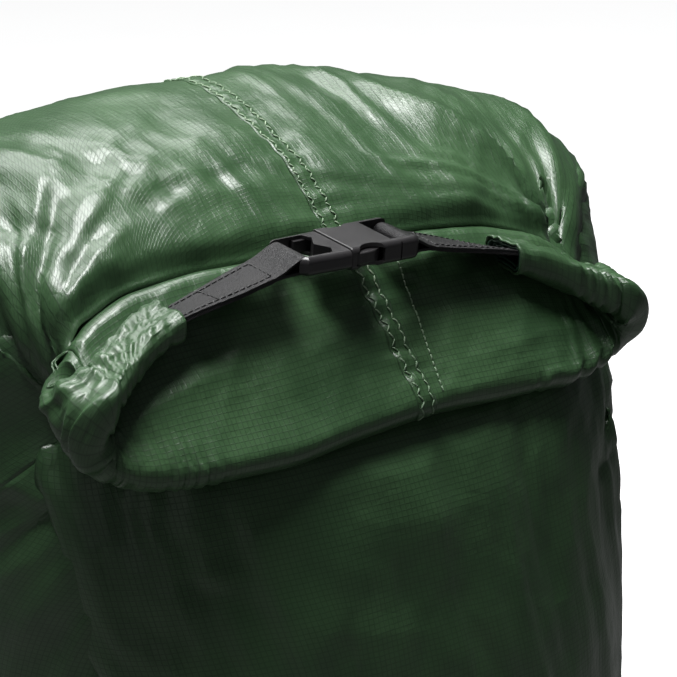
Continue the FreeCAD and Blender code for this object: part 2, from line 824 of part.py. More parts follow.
# lower halves of the plug's outlines, as (x, y)
PLUG_LOWER = [
    (-BUCKLE_END, -10.5), (-26.4, -13.4), (-9.4, -buckle_half), (-5.7, -buckle_half),
]
# the slot's right edge comes to a point in the middle, towards the bar
PLUG_SLOT_LOWER = [
    (-CLEAR_X, -slot_half), (-13.2, -slot_half), (-11.0, -6.4), (-13.4, -2.2), (-14.6, 0.0),
]
BLADE_LOWER = [(-6.5, -2.0), (7.5, -1.4), (9.0, -0.6)]


def buckle_plug():
    body = body_of("buckle_plug")
    sketch = sketch_on(body, "plug_outline", "XY_Plane")
    polygon(sketch, symmetric(PLUG_LOWER))
    pad(body, sketch, plug_ply)
    fillet(
        body,
        "rail_round",
        2.6,
        lambda middle: on_face(middle, plug_ply) and abs(middle.y) > 10.6,
    )
    sketch = sketch_on(body, "slot_outline", "XY_Plane")
    polygon(sketch, symmetric(PLUG_SLOT_LOWER))
    pocket(body, sketch, THROUGH, "webbing_slot")
    # room for each arm to be pressed inwards
    sketch = sketch_on(body, "arm_ways", "XY_Plane")
    for y0, y1 in ((6.6, 12.5), (-12.5, -6.6)):
        rectangle(sketch, -18.9, -5.0, y0, y1)
    pocket(body, sketch, 5.2, "arm_pockets")
    # the middle guide blade
    sketch = sketch_on(body, "blade_outline", "XY_Plane")
    polygon(sketch, symmetric(BLADE_LOWER))
    pad(body, sketch, 4.6, "guide_blade")
    webbing_bar(body, -bar_place)
    keep(body, "buckle_plug", BUCKLE)


# outline of the rear latch arm, as (x, y), from its root along the inner side and back
ARM_OUTLINE = [
    (-17.9, 8.9), (-5.2, 9.3), (-2.4, 9.5), (3.0, 9.9), (9.6, 8.2),
    (10.5, 8.9), (10.3, 10.2), (8.4, 12.2), (5.4, 13.5), (1.6, 14.0),
    (-1.6, 13.9), (-2.9, 13.0), (-3.0, 12.1), (-5.2, 12.1), (-17.9, 12.2),
]


def latch_arm(label, side):
    """A springy arm: it roots in the plug and swells into the receiver's side window."""
    body = body_of(label)
    sketch = sketch_on(body, "arm_outline", "XY_Plane")
    polygon(sketch, [(x, side * y) for x, y in ARM_OUTLINE])
    pad(body, sketch, arm_ply)
    fillet(
        body,
        "pad_round",
        0.8,
        lambda middle: on_face(middle, arm_ply) and abs(middle.y) > 12.9 and middle.x > -2.0,
    )
    keep(body, label, BUCKLE)


buckle_receiver()
buckle_plug()
latch_arm("front_latch_arm", -1)
latch_arm("rear_latch_arm", 1)

# ---------------------------------------------------------------- checks and export
doc.recompute()
for obj in doc.Objects:
    if "Invalid" in obj.State or "Error" in obj.State:
        raise RuntimeError("object %s is %s" % (obj.Label, obj.State))
for old in os.listdir("parts"):
    if old.endswith(".step"):
        os.remove(os.path.join("parts", old))
for label, obj in sorted(pieces.items()):
    shape = obj.Shape
    if shape.isNull() or not shape.isValid():
        raise RuntimeError("bad shape for " + label)
    if not shape.Solids or any(solid.Volume <= 0 for solid in shape.Solids):
        raise RuntimeError("no solid, or one inside out, in " + label)
    shape.exportStep("parts/%s.step" % label)
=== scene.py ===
# A ripstop sack with a rolled mouth, standing on the floor. The roll lies over the front, its two
# ends turn out and back over its face, and a tab joins each end to the buckle between them.
# X runs right, the front faces -Y and Z is up. Lengths are millimetres unless a name says otherwise.
import json
import math

import bpy
import numpy as np
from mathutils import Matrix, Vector


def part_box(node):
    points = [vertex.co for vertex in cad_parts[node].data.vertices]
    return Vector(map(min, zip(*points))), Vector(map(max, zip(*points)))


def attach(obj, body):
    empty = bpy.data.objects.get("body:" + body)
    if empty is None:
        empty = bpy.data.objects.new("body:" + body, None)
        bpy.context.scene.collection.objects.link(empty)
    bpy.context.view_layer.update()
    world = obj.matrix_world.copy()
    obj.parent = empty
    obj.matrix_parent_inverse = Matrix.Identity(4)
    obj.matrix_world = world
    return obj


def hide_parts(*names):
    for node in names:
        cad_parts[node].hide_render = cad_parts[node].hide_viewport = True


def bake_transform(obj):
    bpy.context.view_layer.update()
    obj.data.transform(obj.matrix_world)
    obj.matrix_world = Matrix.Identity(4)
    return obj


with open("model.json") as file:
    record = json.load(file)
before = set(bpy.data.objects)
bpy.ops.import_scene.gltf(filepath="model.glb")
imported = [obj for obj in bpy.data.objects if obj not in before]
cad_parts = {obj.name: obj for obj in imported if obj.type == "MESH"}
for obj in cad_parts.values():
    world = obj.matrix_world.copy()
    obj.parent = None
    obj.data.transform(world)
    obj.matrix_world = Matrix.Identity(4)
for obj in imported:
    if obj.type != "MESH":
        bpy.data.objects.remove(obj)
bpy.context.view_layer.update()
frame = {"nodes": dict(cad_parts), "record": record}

JOINTS = {joint["name"]: joint for joint in frame["record"]["behaviour"]["joints"]}
MM = 0.001

# ---------------------------------------------------------------- the ring frame of roll and tabs
# Origin on the crease at the roll's upper edge; axes along the roll, across it and out of its face.
CREASE = np.array(JOINTS["roll_lift"]["pos_m"]) * 1000
ACROSS = np.array(JOINTS["left_end_spread"]["axis"], float)
ACROSS /= np.linalg.norm(ACROSS)
RIGHT = np.array([1.0, 0, 0])
OUT = np.cross(RIGHT, -ACROSS)


def ring(x, across, out):
    """World point from ring-frame coordinates."""
    x, across, out = np.broadcast_arrays(*(np.asarray(v, float) for v in (x, across, out)))
    return CREASE + x[..., None] * RIGHT + across[..., None] * ACROSS + out[..., None] * OUT


def to_ring(point):
    offset = np.asarray(point) - CREASE
    return offset @ RIGHT, offset @ ACROSS, offset @ OUT


def joint_ring(name):
    return to_ring(np.array(JOINTS[name]["pos_m"]) * 1000)


BEND_X, _, BEND_R = joint_ring("right_end_spread")
END_X, END_ACROSS, END_OUT = joint_ring("left_tab_swing")
BAR_X, BAR_ACROSS, BAR_OUT = joint_ring("receiver_swing")
BAG_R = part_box("body_panel")[1][0] * 1000
TOP_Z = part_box("body_panel")[1][2] * 1000
BEND_LEN = math.pi * BEND_R
WING_LEN = BEND_X - abs(END_X)
WING_START = BEND_X + BEND_LEN
ROLL_END = WING_START + WING_LEN

# lean of the roll's face and of the buckle from level
LATCH_AXIS = JOINTS["latch_squeeze"]["axis"]
BUCKLE_LEAN = math.atan2(-LATCH_AXIS[1], LATCH_AXIS[2])
LEVEL = math.atan2(-OUT[1], OUT[2]) - BUCKLE_LEAN


# ---------------------------------------------------------------- noise and small helpers
def lattice(ix, iy, iz, seed):
    """Repeatable value from -1 to 1 at each lattice point."""
    h = (ix * 374761393 + iy * 668265263 + iz * 2147483647 + seed * 1274126177) & 0xFFFFFFFF
    h = ((h ^ (h >> 13)) * 1274126177) & 0xFFFFFFFF
    h = h ^ (h >> 16)
    return (h & 0xFFFF) / 32767.5 - 1.0


def noise(x, y, z=0.0, seed=0):
    coords = np.broadcast_arrays(*(np.asarray(v, float) for v in (x, y, z)))
    floors = [np.floor(v) for v in coords]
    tx, ty, tz = (v - low for v, low in zip(coords, floors))
    tx, ty, tz = (t * t * (3 - 2 * t) for t in (tx, ty, tz))
    ix, iy, iz = (low.astype(np.int64) for low in floors)
    total = 0.0
    for a in (0, 1):
        for b in (0, 1):
            for c in (0, 1):
                weight = (tx if a else 1 - tx) * (ty if b else 1 - ty) * (tz if c else 1 - tz)
                total = total + weight * lattice(ix + a, iy + b, iz + c, seed)
    return total


def layered(x, y, seed, octaves, shift, shape):
    """Sum of octaves, each half as strong as the last, scaled back to one."""
    total, weights = 0.0, 0.0
    for o in range(octaves):
        weight = 0.5**o
        value = noise(x * 2**o + shift[0] * o, y * 2**o + shift[1] * o, shift[2] * o, seed + o)
        total = total + weight * shape(value)
        weights += weight
    return total / weights


def fbm(x, y, seed):
    return layered(x, y, seed, 3, (17.3, -9.1, 0.37), lambda value: value)


def ridged(x, y, seed):
    return layered(x, y, seed, 2, (5.7, 3.3, 0.61), lambda value: 1 - 2 * np.abs(value))


def sstep(low, high, x):
    """Smooth step from 0 at low to 1 at high."""
    t = np.clip((np.asarray(x, float) - low) / (high - low), 0, 1)
    return t * t * (3 - 2 * t)


def unit(vec, tiny=0.0):
    return vec / (np.linalg.norm(vec, axis=-1, keepdims=True) + tiny)


def size_of(vec):
    """Length of each vector, kept above zero."""
    return np.sqrt((vec * vec).sum(-1, keepdims=True)) + 1e-6


def smooth_curve(stations, values, width):
    """Line through the stations, smoothed by a bell of the given width."""
    reach, step, pad = 260, 0.25, 80
    grid = np.linspace(-reach, reach, 2081)
    curve = np.interp(grid, stations, values)
    bell = np.exp(-0.5 * (np.arange(-pad, pad + 1) * step / width) ** 2)
    bell /= bell.sum()
    curve = np.convolve(np.pad(curve, pad, mode="edge"), bell, mode="valid")
    return lambda along: np.interp(along, grid, curve)


# ---------------------------------------------------------------- the roll's form
# Stations run along the roll from the left wing's end to the right wing's end.
# Lower edge: distance across from the crease.
lower_edge = smooth_curve(
    [-ROLL_END, -176, -160, -150, -138, -126, -112, -90, -43, -14,
     26, 62, 105, 120, 130, 138, 150, 160, 176, ROLL_END],
    [32.5, 39, 50, 60, 67, 75, 82, 85, 86, 82,
     78.5, 79, 79, 75, 70, 67, 64, 54, 41, 32.5],
    width=4.5,
)
# Upper edge: distance across from the crease.
upper_edge = smooth_curve(
    [-ROLL_END, -176, -160, -150, -138, -126, -112, -90, -60,
     60, 90, 112, 126, 138, 150, 160, 176, ROLL_END],
    [9.5, 17, 27, 33, 35, 24, 12, 3, 0,
     0, 3, 12, 24, 35, 33, 27, 16, 9.5],
    width=4.5,
)
# Half the roll's thickness.
half_thickness = smooth_curve(
    [-ROLL_END, -160, -150, -138, -126, -90, 0, 90, 126, 138, 150, 160, ROLL_END],
    [4.6, 5.6, 6.0, 6.3, 6.7, 6.6, 6.5, 6.6, 6.6, 6.3, 6.0, 5.6, 4.6],
    width=5.0,
)


def path(along):
    """x and out of the roll's middle line, and x and out of its normal into the turn."""
    along = np.asarray(along, float)
    dist, sign = np.abs(along), np.where(along < 0, -1.0, 1.0)
    turn = np.clip((dist - BEND_X) / BEND_R, 0, math.pi)
    x = np.where(dist <= BEND_X, dist, BEND_X + BEND_R * np.sin(turn))
    x = np.where(dist > BEND_X + BEND_LEN, BEND_X - (dist - BEND_X - BEND_LEN), x)
    out = np.where(dist <= BEND_X, 0.0, BEND_R - BEND_R * np.cos(turn))
    return sign * x, out, sign * -np.sin(turn), np.cos(turn)


def stadium(around, half, radius):
    """Flattened loop: around runs 0 to 1 from the upper edge's middle, over the outer face first.

    Gives the offsets across and out from the loop's middle."""
    core = half - radius
    flat = 2 * core
    arc = math.pi * radius
    quarter = arc / 2
    dist = (around % 1.0) * (2 * flat + 2 * arc)
    start = dist / radius
    lower = (dist - quarter - flat) / radius
    finish = (dist - quarter - 2 * flat - arc) / radius
    runs = [
        dist < quarter,
        dist < quarter + flat,
        dist < quarter + flat + arc,
        dist < quarter + 2 * flat + arc,
    ]
    across = [
        -core - radius * np.cos(start),
        -core + (dist - quarter),
        core + radius * np.sin(lower),
        core - (dist - quarter - flat - arc),
    ]
    out = [radius * np.sin(start), radius + 0 * dist, radius * np.cos(lower), -radius + 0 * dist]
    return (
        np.select(runs, across, -core - radius * np.sin(finish)),
        np.select(runs, out, -radius * np.cos(finish)),
    )


def crumple(along, across, out, half, top):
    """Gathers, folds and creases of the roll's cloth, added to its across and out offsets."""
    dist = np.abs(along)
    side = np.where(along < 0, 0.0, 31.0)  # noise offset that makes the two ends differ
    share = across / half
    # teeth that fan out along the lower edge and fold up round the turned ends
    strength = 0.55 + 0.45 * noise(side + dist / 11, share * 2.2, seed=3)
    phase = dist / (8.0 + 0.8 * side / 31) + 0.75 * share
    phase = phase + 1.3 * noise(share * 1.2 + side, dist / 17, seed=4)
    teeth = 1 - 2 * np.abs(2 * (phase % 1.0) - 1)
    teeth = np.sign(teeth) * np.abs(teeth) ** 0.85 * strength
    reach = sstep(0.95 - 1.5 * sstep(70, 125, dist), 1.0, share) * sstep(62, 100, dist)
    fan = teeth * (1.35 * reach * (1 - sstep(118, 130, dist)) + 0.25 * sstep(90, 118, dist))
    fold = teeth * 1.45 * sstep(114, 127, dist) * (1 - 0.72 * sstep(144, 170, dist))
    fold = fold + ridged(share * 1.3 + side, dist / 26 + side, seed=7) * sstep(118, 135, dist)
    # broad swells and slanting creases over the whole roll, then a fine crackle
    soft = 1.0 * fbm(along / 46 + 3, share * 1.5, seed=8)
    soft = soft + 1.5 * ridged((across + 0.20 * along) / 24, along / 90, seed=9)
    soft = soft + 1.1 * ridged(
        (along * 0.8 + across * 0.5) / 30, (across - 0.35 * along) / 80, seed=14)
    soft = soft + 0.5 * ridged(
        (along * 0.9 - across * 0.5) / 13, (across + along * 0.4) / 50, seed=15)
    fine = 0.14 * fbm(along / 7 + share, across / 12, seed=12)
    # puckers beside the two stitched lines that cross the roll
    wave = np.sin(across / 2.1 + 2 * noise(across / 9, along / 30, seed=21))
    pucker = np.exp(-np.abs(along - 20 - (across - 39) * 0.07) / 8) * 0.85 * wave
    wave = np.sin(across / 1.7 + 1.3)
    pucker = pucker + np.exp(-np.abs(along - 33 + (across - 39) * 0.06) / 5) * 0.35 * wave
    # crossing creases on the turned ends
    wander = 0.8 * noise(share * 2.1, dist / 16 + side, seed=40)
    cross = ridged(dist / 17.0 + 1.5 * share + wander, share * 1.4 + side, seed=41)
    cross = cross + ridged(dist / 21 - 1.6 * share, dist / 30 + share, seed=42)
    cross = 0.9 * cross * sstep(120, 138, dist) * (1 - 0.55 * sstep(176, 190, dist))
    # how much of each shows on the outer face, the edges and the back
    face = 0.25 + 0.75 * np.clip(0.35 + out / 6, 0, 1)
    outer = np.where(out < -2, 0.3 + 0.9 * sstep(118, 136, dist), 1.0)
    shown = 0.35 + 0.65 * top + 0.5 * (across > half * 0.85)
    shown = np.maximum(shown, sstep(120, 138, dist))
    out = out + ((fan + fold) * shown + cross) * np.sign(out + 0.01) * outer
    out = out + (soft * face + fine + pucker * top) * np.where(out < -3, -0.3, 1)
    at_edge = (np.abs(across) > half * 0.8) * np.sign(across)
    return across + (0.8 * fan + 0.9 * fold) * at_edge * 0.8, out


def roll_point(along, around, inset=0.0, detail=True):
    """World point on the roll's outer layer, or on a layer inset from it."""
    along, around = np.broadcast_arrays(np.asarray(along, float), np.asarray(around, float))
    lower, upper = lower_edge(along), upper_edge(along)
    half, middle = (lower - upper) / 2, (lower + upper) / 2
    radius = np.minimum(half_thickness(along), half - 0.5) - inset
    across, out = stadium(around, half - inset, radius)
    top = np.clip(out / np.maximum(radius, 0.1), 0, 1)
    crown = np.clip(1 - (across / half) ** 2, 0, 1)
    dist = np.abs(along)
    # the face is crowned between the wings and the back stays flat on the sack
    out = out + top * crown * (1.6 * (1 - sstep(70, 122, dist)))
    if detail:
        across, out = crumple(along, across, out, half, top)
    # the turned-up ends lie level like the buckle while the middle leans with the sack's shoulder
    tilt = LEVEL * sstep(BEND_X - 8, BEND_X + BEND_LEN + 6, dist)
    path_x, path_out, normal_x, normal_out = path(along)
    return ring(
        path_x + normal_x * out,
        middle + across * np.cos(tilt) - normal_out * out * np.sin(tilt),
        path_out + normal_out * out * np.cos(tilt) + across * np.sin(tilt),
    )


# ---------------------------------------------------------------- the form the contents hold out
# Columns: height, half width, front y, back y, measured on a sack of the two sizes below.
FORM_RADIUS = 148.0
FORM_TOP = 515.6
FORM = np.array((
    (0.0, 148.0, -148.0, 148.0), (60.0, 148.0, -148.0, 148.0),
    (150.0, 150.0, -146.5, 149.0), (250.0, 153.0, -140.0, 151.0),
    (320.0, 155.5, -131.0, 152.0), (365.0, 157.0, -122.5, 152.0),
    (385.0, 157.5, -118.0, 151.0), (402.0, 157.5, -112.4, 149.5),
    (418.0, 157.0, -100.2, 147.0), (432.0, 158.0, -88.4, 144.0),
    (446.0, 160.0, -76.6, 141.0), (458.0, 161.5, -66.6, 137.0),
    (468.0, 162.5, -58.2, 133.0), (477.0, 163.0, -54.0, 128.5),
    (484.0, 162.5, -52.0, 123.5), (490.0, 161.0, -48.0, 119.0),
    (497.0, 157.5, -41.0, 113.0), (504.0, 151.5, -31.0, 105.5),
    (511.0, 142.0, -18.5, 96.5), (518.0, 126.0, -3.0, 85.0),
    (523.0, 103.0, 12.0, 73.0), (526.0, 73.0, 27.0, 60.0),
    (527.5, 28.0, 38.0, 50.0),
))
FORM[:, 1:] *= 1.0 / FORM_RADIUS
FORM[:, 0] *= TOP_Z / FORM_TOP
# Superellipse exponents of the level section: heights, then exponents.
FRONT_SQUARE = ([0, 200, 400, 430, 470, 527], [2.0, 2.15, 2.5, 2.8, 4.4, 3.4])
BACK_SQUARE = ([0, 200, 420], [2.0, 2.15, 2.5])


def inside(point):
    """Below 1 inside the form."""
    z = point[..., 2]
    half_x, front, back = (np.interp(z, FORM[:, 0], FORM[:, k]) * BAG_R for k in (1, 2, 3))
    middle, half_y = (front + back) / 2, (back - front) / 2
    y = point[..., 1]
    power = np.where(y < middle, np.interp(z, *FRONT_SQUARE), np.interp(z, *BACK_SQUARE))
    share_x = np.abs(point[..., 0] / half_x) ** power
    share_y = np.abs((y - middle) / half_y) ** power
    return np.where(z > FORM[-1, 0], 2.0, (share_x + share_y) ** (1 / power))


CENTRE = np.array([0.0, 0.0, 290.0])
AZ_COUNT, EL_COUNT = 361, 92  # directions in the table of the form's distances


def form_table():
    """Distance from the centre to the form, found by halving, for each elevation and azimuth."""
    azimuth, elevation = np.meshgrid(
        np.linspace(-math.pi, math.pi, AZ_COUNT), np.linspace(0, math.pi / 2, EL_COUNT))
    flat = np.cos(elevation)
    rays = np.stack([np.cos(azimuth) * flat, np.sin(azimuth) * flat, np.sin(elevation)], -1)
    near, far = np.full(azimuth.shape, 20.0), np.full(azimuth.shape, 340.0)
    for _ in range(26):
        middle = (near + far) / 2
        within = inside(CENTRE + rays * middle[..., None]) < 1
        near, far = np.where(within, middle, near), np.where(within, far, middle)
    return near.astype(np.float32)


FORM_DIST = form_table()


def form_distance(rays):
    """Distance of the form from its centre along unit directions."""
    azimuth = np.arctan2(rays[..., 1], rays[..., 0])
    elevation = np.arcsin(np.clip(rays[..., 2], 0, 1))
    col = np.clip((azimuth + math.pi) / (2 * math.pi) * (AZ_COUNT - 1), 0, AZ_COUNT - 1.001)
    row = np.clip(elevation / (math.pi / 2) * (EL_COUNT - 1), 0, EL_COUNT - 1.001)
    ia, ie = col.astype(np.int32), row.astype(np.int32)
    ta, te = col - ia, row - ie
    return (
        FORM_DIST[ie, ia] * (1 - ta) * (1 - te)
        + FORM_DIST[ie, ia + 1] * ta * (1 - te)
        + FORM_DIST[ie + 1, ia] * (1 - ta) * te
        + FORM_DIST[ie + 1, ia + 1] * ta * te
    )


# ---------------------------------------------------------------- the sack's cloth
# A tube of cloth, held at its base and its mouth, is blown against the form.
# Rows run from base to mouth, columns round the tube from the left side over the front.
HALF_FLAT = math.pi * BAG_R / 2 * 1.10  # half the width of the flattened mouth
STRAIGHT = 116.0  # the mouth follows the roll one to one up to here, then is gathered
WALL_Z = 290.0  # top of the upright wall


def flat_place(column, columns):
    """Distance along the flattened mouth: the front left to right, then the back right to left."""
    turn = column / columns
    return np.where(turn < 0.5, -1 + 4 * turn, 3 - 4 * turn) * HALF_FLAT


def roll_place(flat_dist):
    """Distance along the roll from its middle, for a distance along the flattened mouth."""
    gathered = (flat_dist - STRAIGHT) * (ROLL_END - 2 - STRAIGHT) / (HALF_FLAT - STRAIGHT)
    return np.where(flat_dist < STRAIGHT, flat_dist, STRAIGHT + gathered)


def mouth_pins(columns):
    """Points where the mouth is held along the roll's upper edge, zigzagged where gathered."""
    column = np.arange(columns)
    flat = flat_place(column, columns)
    dist = np.abs(flat)
    along = roll_place(dist) * np.sign(flat)
    front = column < columns // 2
    pins = roll_point(along, np.where(front, 0.002, 0.012), 0.4, detail=False)
    _, _, normal_x, normal_out = path(along)
    normal = ring(normal_x, 0 * normal_x, normal_out) - CREASE
    gather = sstep(STRAIGHT - 22, STRAIGHT + 14, dist)
    wander = 5 * noise(flat / 31, 0.5, seed=30)
    zig = np.sin(2 * math.pi * (flat + wander) / 14.5) * gather * np.where(front, 3.2, 1.7)
    zag = np.sin(2 * math.pi * (flat + 4) / 23.0) * gather * 2.5
    swing = normal * zig[:, None] * np.where(front, 0.5, 1.0)[:, None]
    return pins + swing - ACROSS * (1.5 + zag[:, None] * 0.6)


def lay_out(columns, rows):
    """First lie of the cloth over the form, and the cut length of each column."""
    angle = math.pi + 2 * math.pi * np.arange(columns) / columns
    radius = BAG_R + 0.4
    base_z = 2.0
    wall = np.stack(
        [radius * np.cos(angle), radius * np.sin(angle), np.full(columns, WALL_Z)], -1)
    wall[:, :2] /= inside(wall)[:, None]
    # straight lines from wall to mouth, pushed out to the form
    share = np.linspace(0, 1, 80)[:, None, None]
    line = wall[None] * (1 - share) + mouth_pins(columns)[None] * share
    offset = line - CENTRE
    dist = np.linalg.norm(offset, axis=-1, keepdims=True)
    rays = offset / dist
    form = form_distance(rays)[..., None]
    near = 1 - sstep(0.86, 1.0, share)
    dome = CENTRE + rays * (np.maximum(form, dist * (1 - near)) * near + dist * (1 - near))
    lower = wall[None] * np.ones((40, 1, 1))
    lower[..., 2] = np.linspace(base_z, WALL_Z, 41)[:40, None]
    lower[..., :2] /= inside(lower)[..., None]
    full = np.concatenate([lower, dome], 0)
    steps = np.linalg.norm(np.diff(full, axis=0), axis=-1)
    run = np.concatenate([np.zeros((1, columns)), np.cumsum(steps, 0)], 0)
    length = run[-1]
    # neighbours share their cut: the pattern is smooth round the mouth
    kernel = np.ones(2 * (columns // 24) + 1)
    kernel /= kernel.sum()
    pad = len(kernel) // 2
    smooth = np.convolve(
        np.concatenate([length[-pad:], length, length[:pad]]), kernel, mode="valid")
    cloth = np.empty((rows, columns, 3), np.float32)
    for c in range(columns):
        wanted = np.linspace(0, run[-1, c], rows)
        for axis in range(3):
            cloth[:, c, axis] = np.interp(wanted, run[:, c], full[:, c, axis])
    return cloth, np.maximum(smooth, length * 0.985)


def cloth_normals(cloth):
    by_col = np.roll(cloth, -1, 1) - np.roll(cloth, 1, 1)
    by_row = np.empty_like(cloth)
    by_row[1:-1] = cloth[2:] - cloth[:-2]
    by_row[0], by_row[-1] = cloth[1] - cloth[0], cloth[-1] - cloth[-2]
    return unit(np.cross(by_col, by_row), 1e-6)


def link(start, end, rest, free_start, free_end):
    """Both ends of each link, moved so that it takes its rest length."""
    gap = end - start
    size = size_of(gap)
    shift = gap * ((size - rest) / (size * (free_start + free_end + 1e-9)))
    return start + free_start * shift, end - free_end * shift


def relax(cloth, length, steps, pressure, jitter, seed, stiffness):
    """Inflate the cloth against the form, keeping its cut lengths."""
    rows, columns, _ = cloth.shape
    cloth = cloth.astype(np.float32)
    pin_base, pin_mouth = cloth[0].copy(), cloth[-1].copy()
    up_share = np.linspace(0, 1, rows)
    taper = np.interp(up_share, [0, 0.12, 0.55, 1.0], [0.925, 0.94, 1.0, 1.0])
    col_width = 2 * HALF_FLAT * 2 / columns
    width = (col_width * taper).astype(np.float32)[:, None, None]
    height = (length / (rows - 1)).astype(np.float32)[None, :]
    diagonal = np.sqrt(width[:-1, :, 0] ** 2 + height * height)[..., None]
    height = height[..., None]
    place, level = np.arange(columns)[None, :] * col_width, np.arange(rows)[:, None] * 2.0
    rough = noise(place / 17.0, level / 60, 0.5, seed)
    rough += 0.7 * noise(place / 8.0, level / 35, 0.5, seed + 1)
    speed = np.zeros_like(cloth)
    free = np.ones((rows, columns, 1), np.float32)
    free[0] = free[-1] = 0
    front = np.arange(columns) < columns // 2
    room = np.where(front, 1.5, 3.0).astype(np.float32)[None, :, None]
    # the last rows before the mouth may leave the form
    held = up_share[:, None, None] < np.where(front, 0.965, 0.988)[None, :, None]
    centre = CENTRE.astype(np.float32)
    cloth = cloth + cloth_normals(cloth) * (rough * jitter).astype(np.float32)[..., None] * free

    for _ in range(steps):
        before = cloth.copy()
        normals = cloth_normals(cloth)
        speed *= 0.9
        cloth = cloth + (speed + normals * np.float32(pressure)) * free
        for _ in range(3):
            # links round the tube
            even, odd = link(cloth[:, 0::2], cloth[:, 1::2], width, free[:, 0::2], free[:, 1::2])
            cloth[:, 0::2], cloth[:, 1::2] = even, odd
            even = np.roll(cloth[:, 0::2], -1, 1)
            free_even = np.roll(free[:, 0::2], -1, 1)
            odd, even = link(cloth[:, 1::2], even, width, free[:, 1::2], free_even)
            cloth[:, 1::2] = odd
            cloth[:, 0::2] = np.roll(even, 1, 1)
            # links up the tube
            for first in (0, 1):
                low, high = slice(first, -1, 2), slice(first + 1, None, 2)
                cloth[low], cloth[high] = link(
                    cloth[low], cloth[high], height, free[low], free[high])
        # shear, once per step
        total = np.zeros_like(cloth)
        for turn in (-1, 1):
            gap = np.roll(cloth, turn, 1)[1:] - cloth[:-1]
            size = size_of(gap)
            shift = gap * (0.5 * (size - diagonal) / size)
            total[:-1] += shift
            total[1:] -= np.roll(shift, -turn, 1)
        cloth = cloth + total * (0.22 * free)
        # bending: points two apart resist coming closer
        gap = np.roll(cloth, -2, 1) - cloth
        size = size_of(gap)
        shift = gap * (0.5 * np.minimum(size - 2 * width, 0) / size)
        cloth = cloth + (shift - np.roll(shift, 2, 1)) * (stiffness * free)
        gap = cloth[2:] - cloth[:-2]
        size = size_of(gap)
        shift = gap * (0.5 * np.minimum(size - 2 * height, 0) / size)
        total = np.zeros_like(cloth)
        total[:-2] += shift
        total[2:] -= shift
        cloth = cloth + total * (stiffness * free)
        # thin coated cloth resists sharp creases
        bow = (np.roll(cloth, 1, 1) + np.roll(cloth, -1, 1)) * 0.5 - cloth
        cloth = cloth + bow * (0.012 * free)
        # the form, above its centre
        offset = cloth - centre
        dist = size_of(offset)
        rays = offset / dist
        above = cloth[..., 2] > CENTRE[2]
        form = form_distance(rays)[..., None]
        push = np.maximum(form - 3.5 - dist, 0) * above[..., None]
        pull = np.minimum(form + room - dist, 0) * above[..., None] * held
        cloth = cloth + (rays * (push + pull) * free).astype(np.float32)
        # the form, below its centre
        radial = np.sqrt(cloth[..., 0] ** 2 + cloth[..., 1] ** 2)[..., None] + 1e-6
        depth = inside(np.where(above[..., None], 0.0, cloth))[..., None] + 1e-3
        blend = sstep(190, CENTRE[2], cloth[..., 2])[..., None]
        push = np.maximum(radial / depth - 3.5 - radial, 0)
        pull = np.maximum(radial - radial / depth - (6 + (room - 6) * blend), 0)
        fix = (push - pull) * (~above)[..., None]
        cloth[..., :2] += (cloth[..., :2] / radial * fix * free).astype(np.float32)
        # the cloth stays behind the roll where the roll lies on it
        x, across, out = to_ring(cloth)
        limit = -8.2 + 26 * sstep(106, 158, np.abs(x)) + 10 * sstep(80, 92, across)
        hit = (np.abs(x) < 156) & (across > 4) & (across < 92)
        hit &= (out > limit) & (out < limit + 13)
        hit[-2:] = False
        back = (hit * (limit - out) * 0.8)[..., None].astype(np.float32)
        cloth = cloth + back * OUT.astype(np.float32) * free
        cloth[0], cloth[-1] = pin_base, pin_mouth
        cloth = np.clip(
            cloth,
            [-BAG_R - 15, -BAG_R - 9, 1.6],
            [BAG_R + 16, BAG_R + 12, TOP_Z + 19],
        ).astype(np.float32)
        speed = (cloth - before) * 0.9
        speed = speed * np.minimum(1, 1.2 / size_of(speed))
    return cloth


def refine(cloth, columns, rows):
    """The cloth resampled to a new count of columns and rows."""
    old_rows, old_cols = cloth.shape[:2]
    row = np.linspace(0, old_rows - 1, rows)
    col = np.arange(columns) * old_cols / columns
    iv = np.minimum(row.astype(int), old_rows - 2)
    tv = (row - iv)[:, None, None]
    mid = cloth[iv] * (1 - tv) + cloth[iv + 1] * tv
    iu = col.astype(int)
    tu = (col - iu)[None, :, None]
    return (mid[:, iu % old_cols] * (1 - tu) + mid[:, (iu + 1) % old_cols] * tu).astype(np.float32)


COLS, ROWS = ((384, 256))
# Columns, rows, steps, pressure, starting jitter, seed, bending stiffness.
STAGES = [
    (96, 66, 260, 0.09, 3.0, 41, 0.16),
    (192, 130, 220, 0.05, 1.4, 52, 0.12),
    (384, 256, 90, 0.02, 0.5, 63, 0.1),
]


def inflate():
    """The cloth relaxed from coarse to fine, and the cut length of each column."""
    cloth = None
    for columns, rows, *settings in STAGES:
        laid, length = lay_out(columns, rows)
        if cloth is None:
            cloth = laid
        else:
            cloth = refine(cloth, columns, rows)
            cloth[0], cloth[-1] = laid[0], laid[-1]
        cloth = relax(cloth, length, *settings)
    return cloth.astype(float), length


def grid_normals(grid):
    by_col = np.roll(grid, -1, 1) - np.roll(grid, 1, 1)
    return unit(np.cross(by_col, np.gradient(grid, axis=0)), 1e-9)


sack, col_length = inflate()
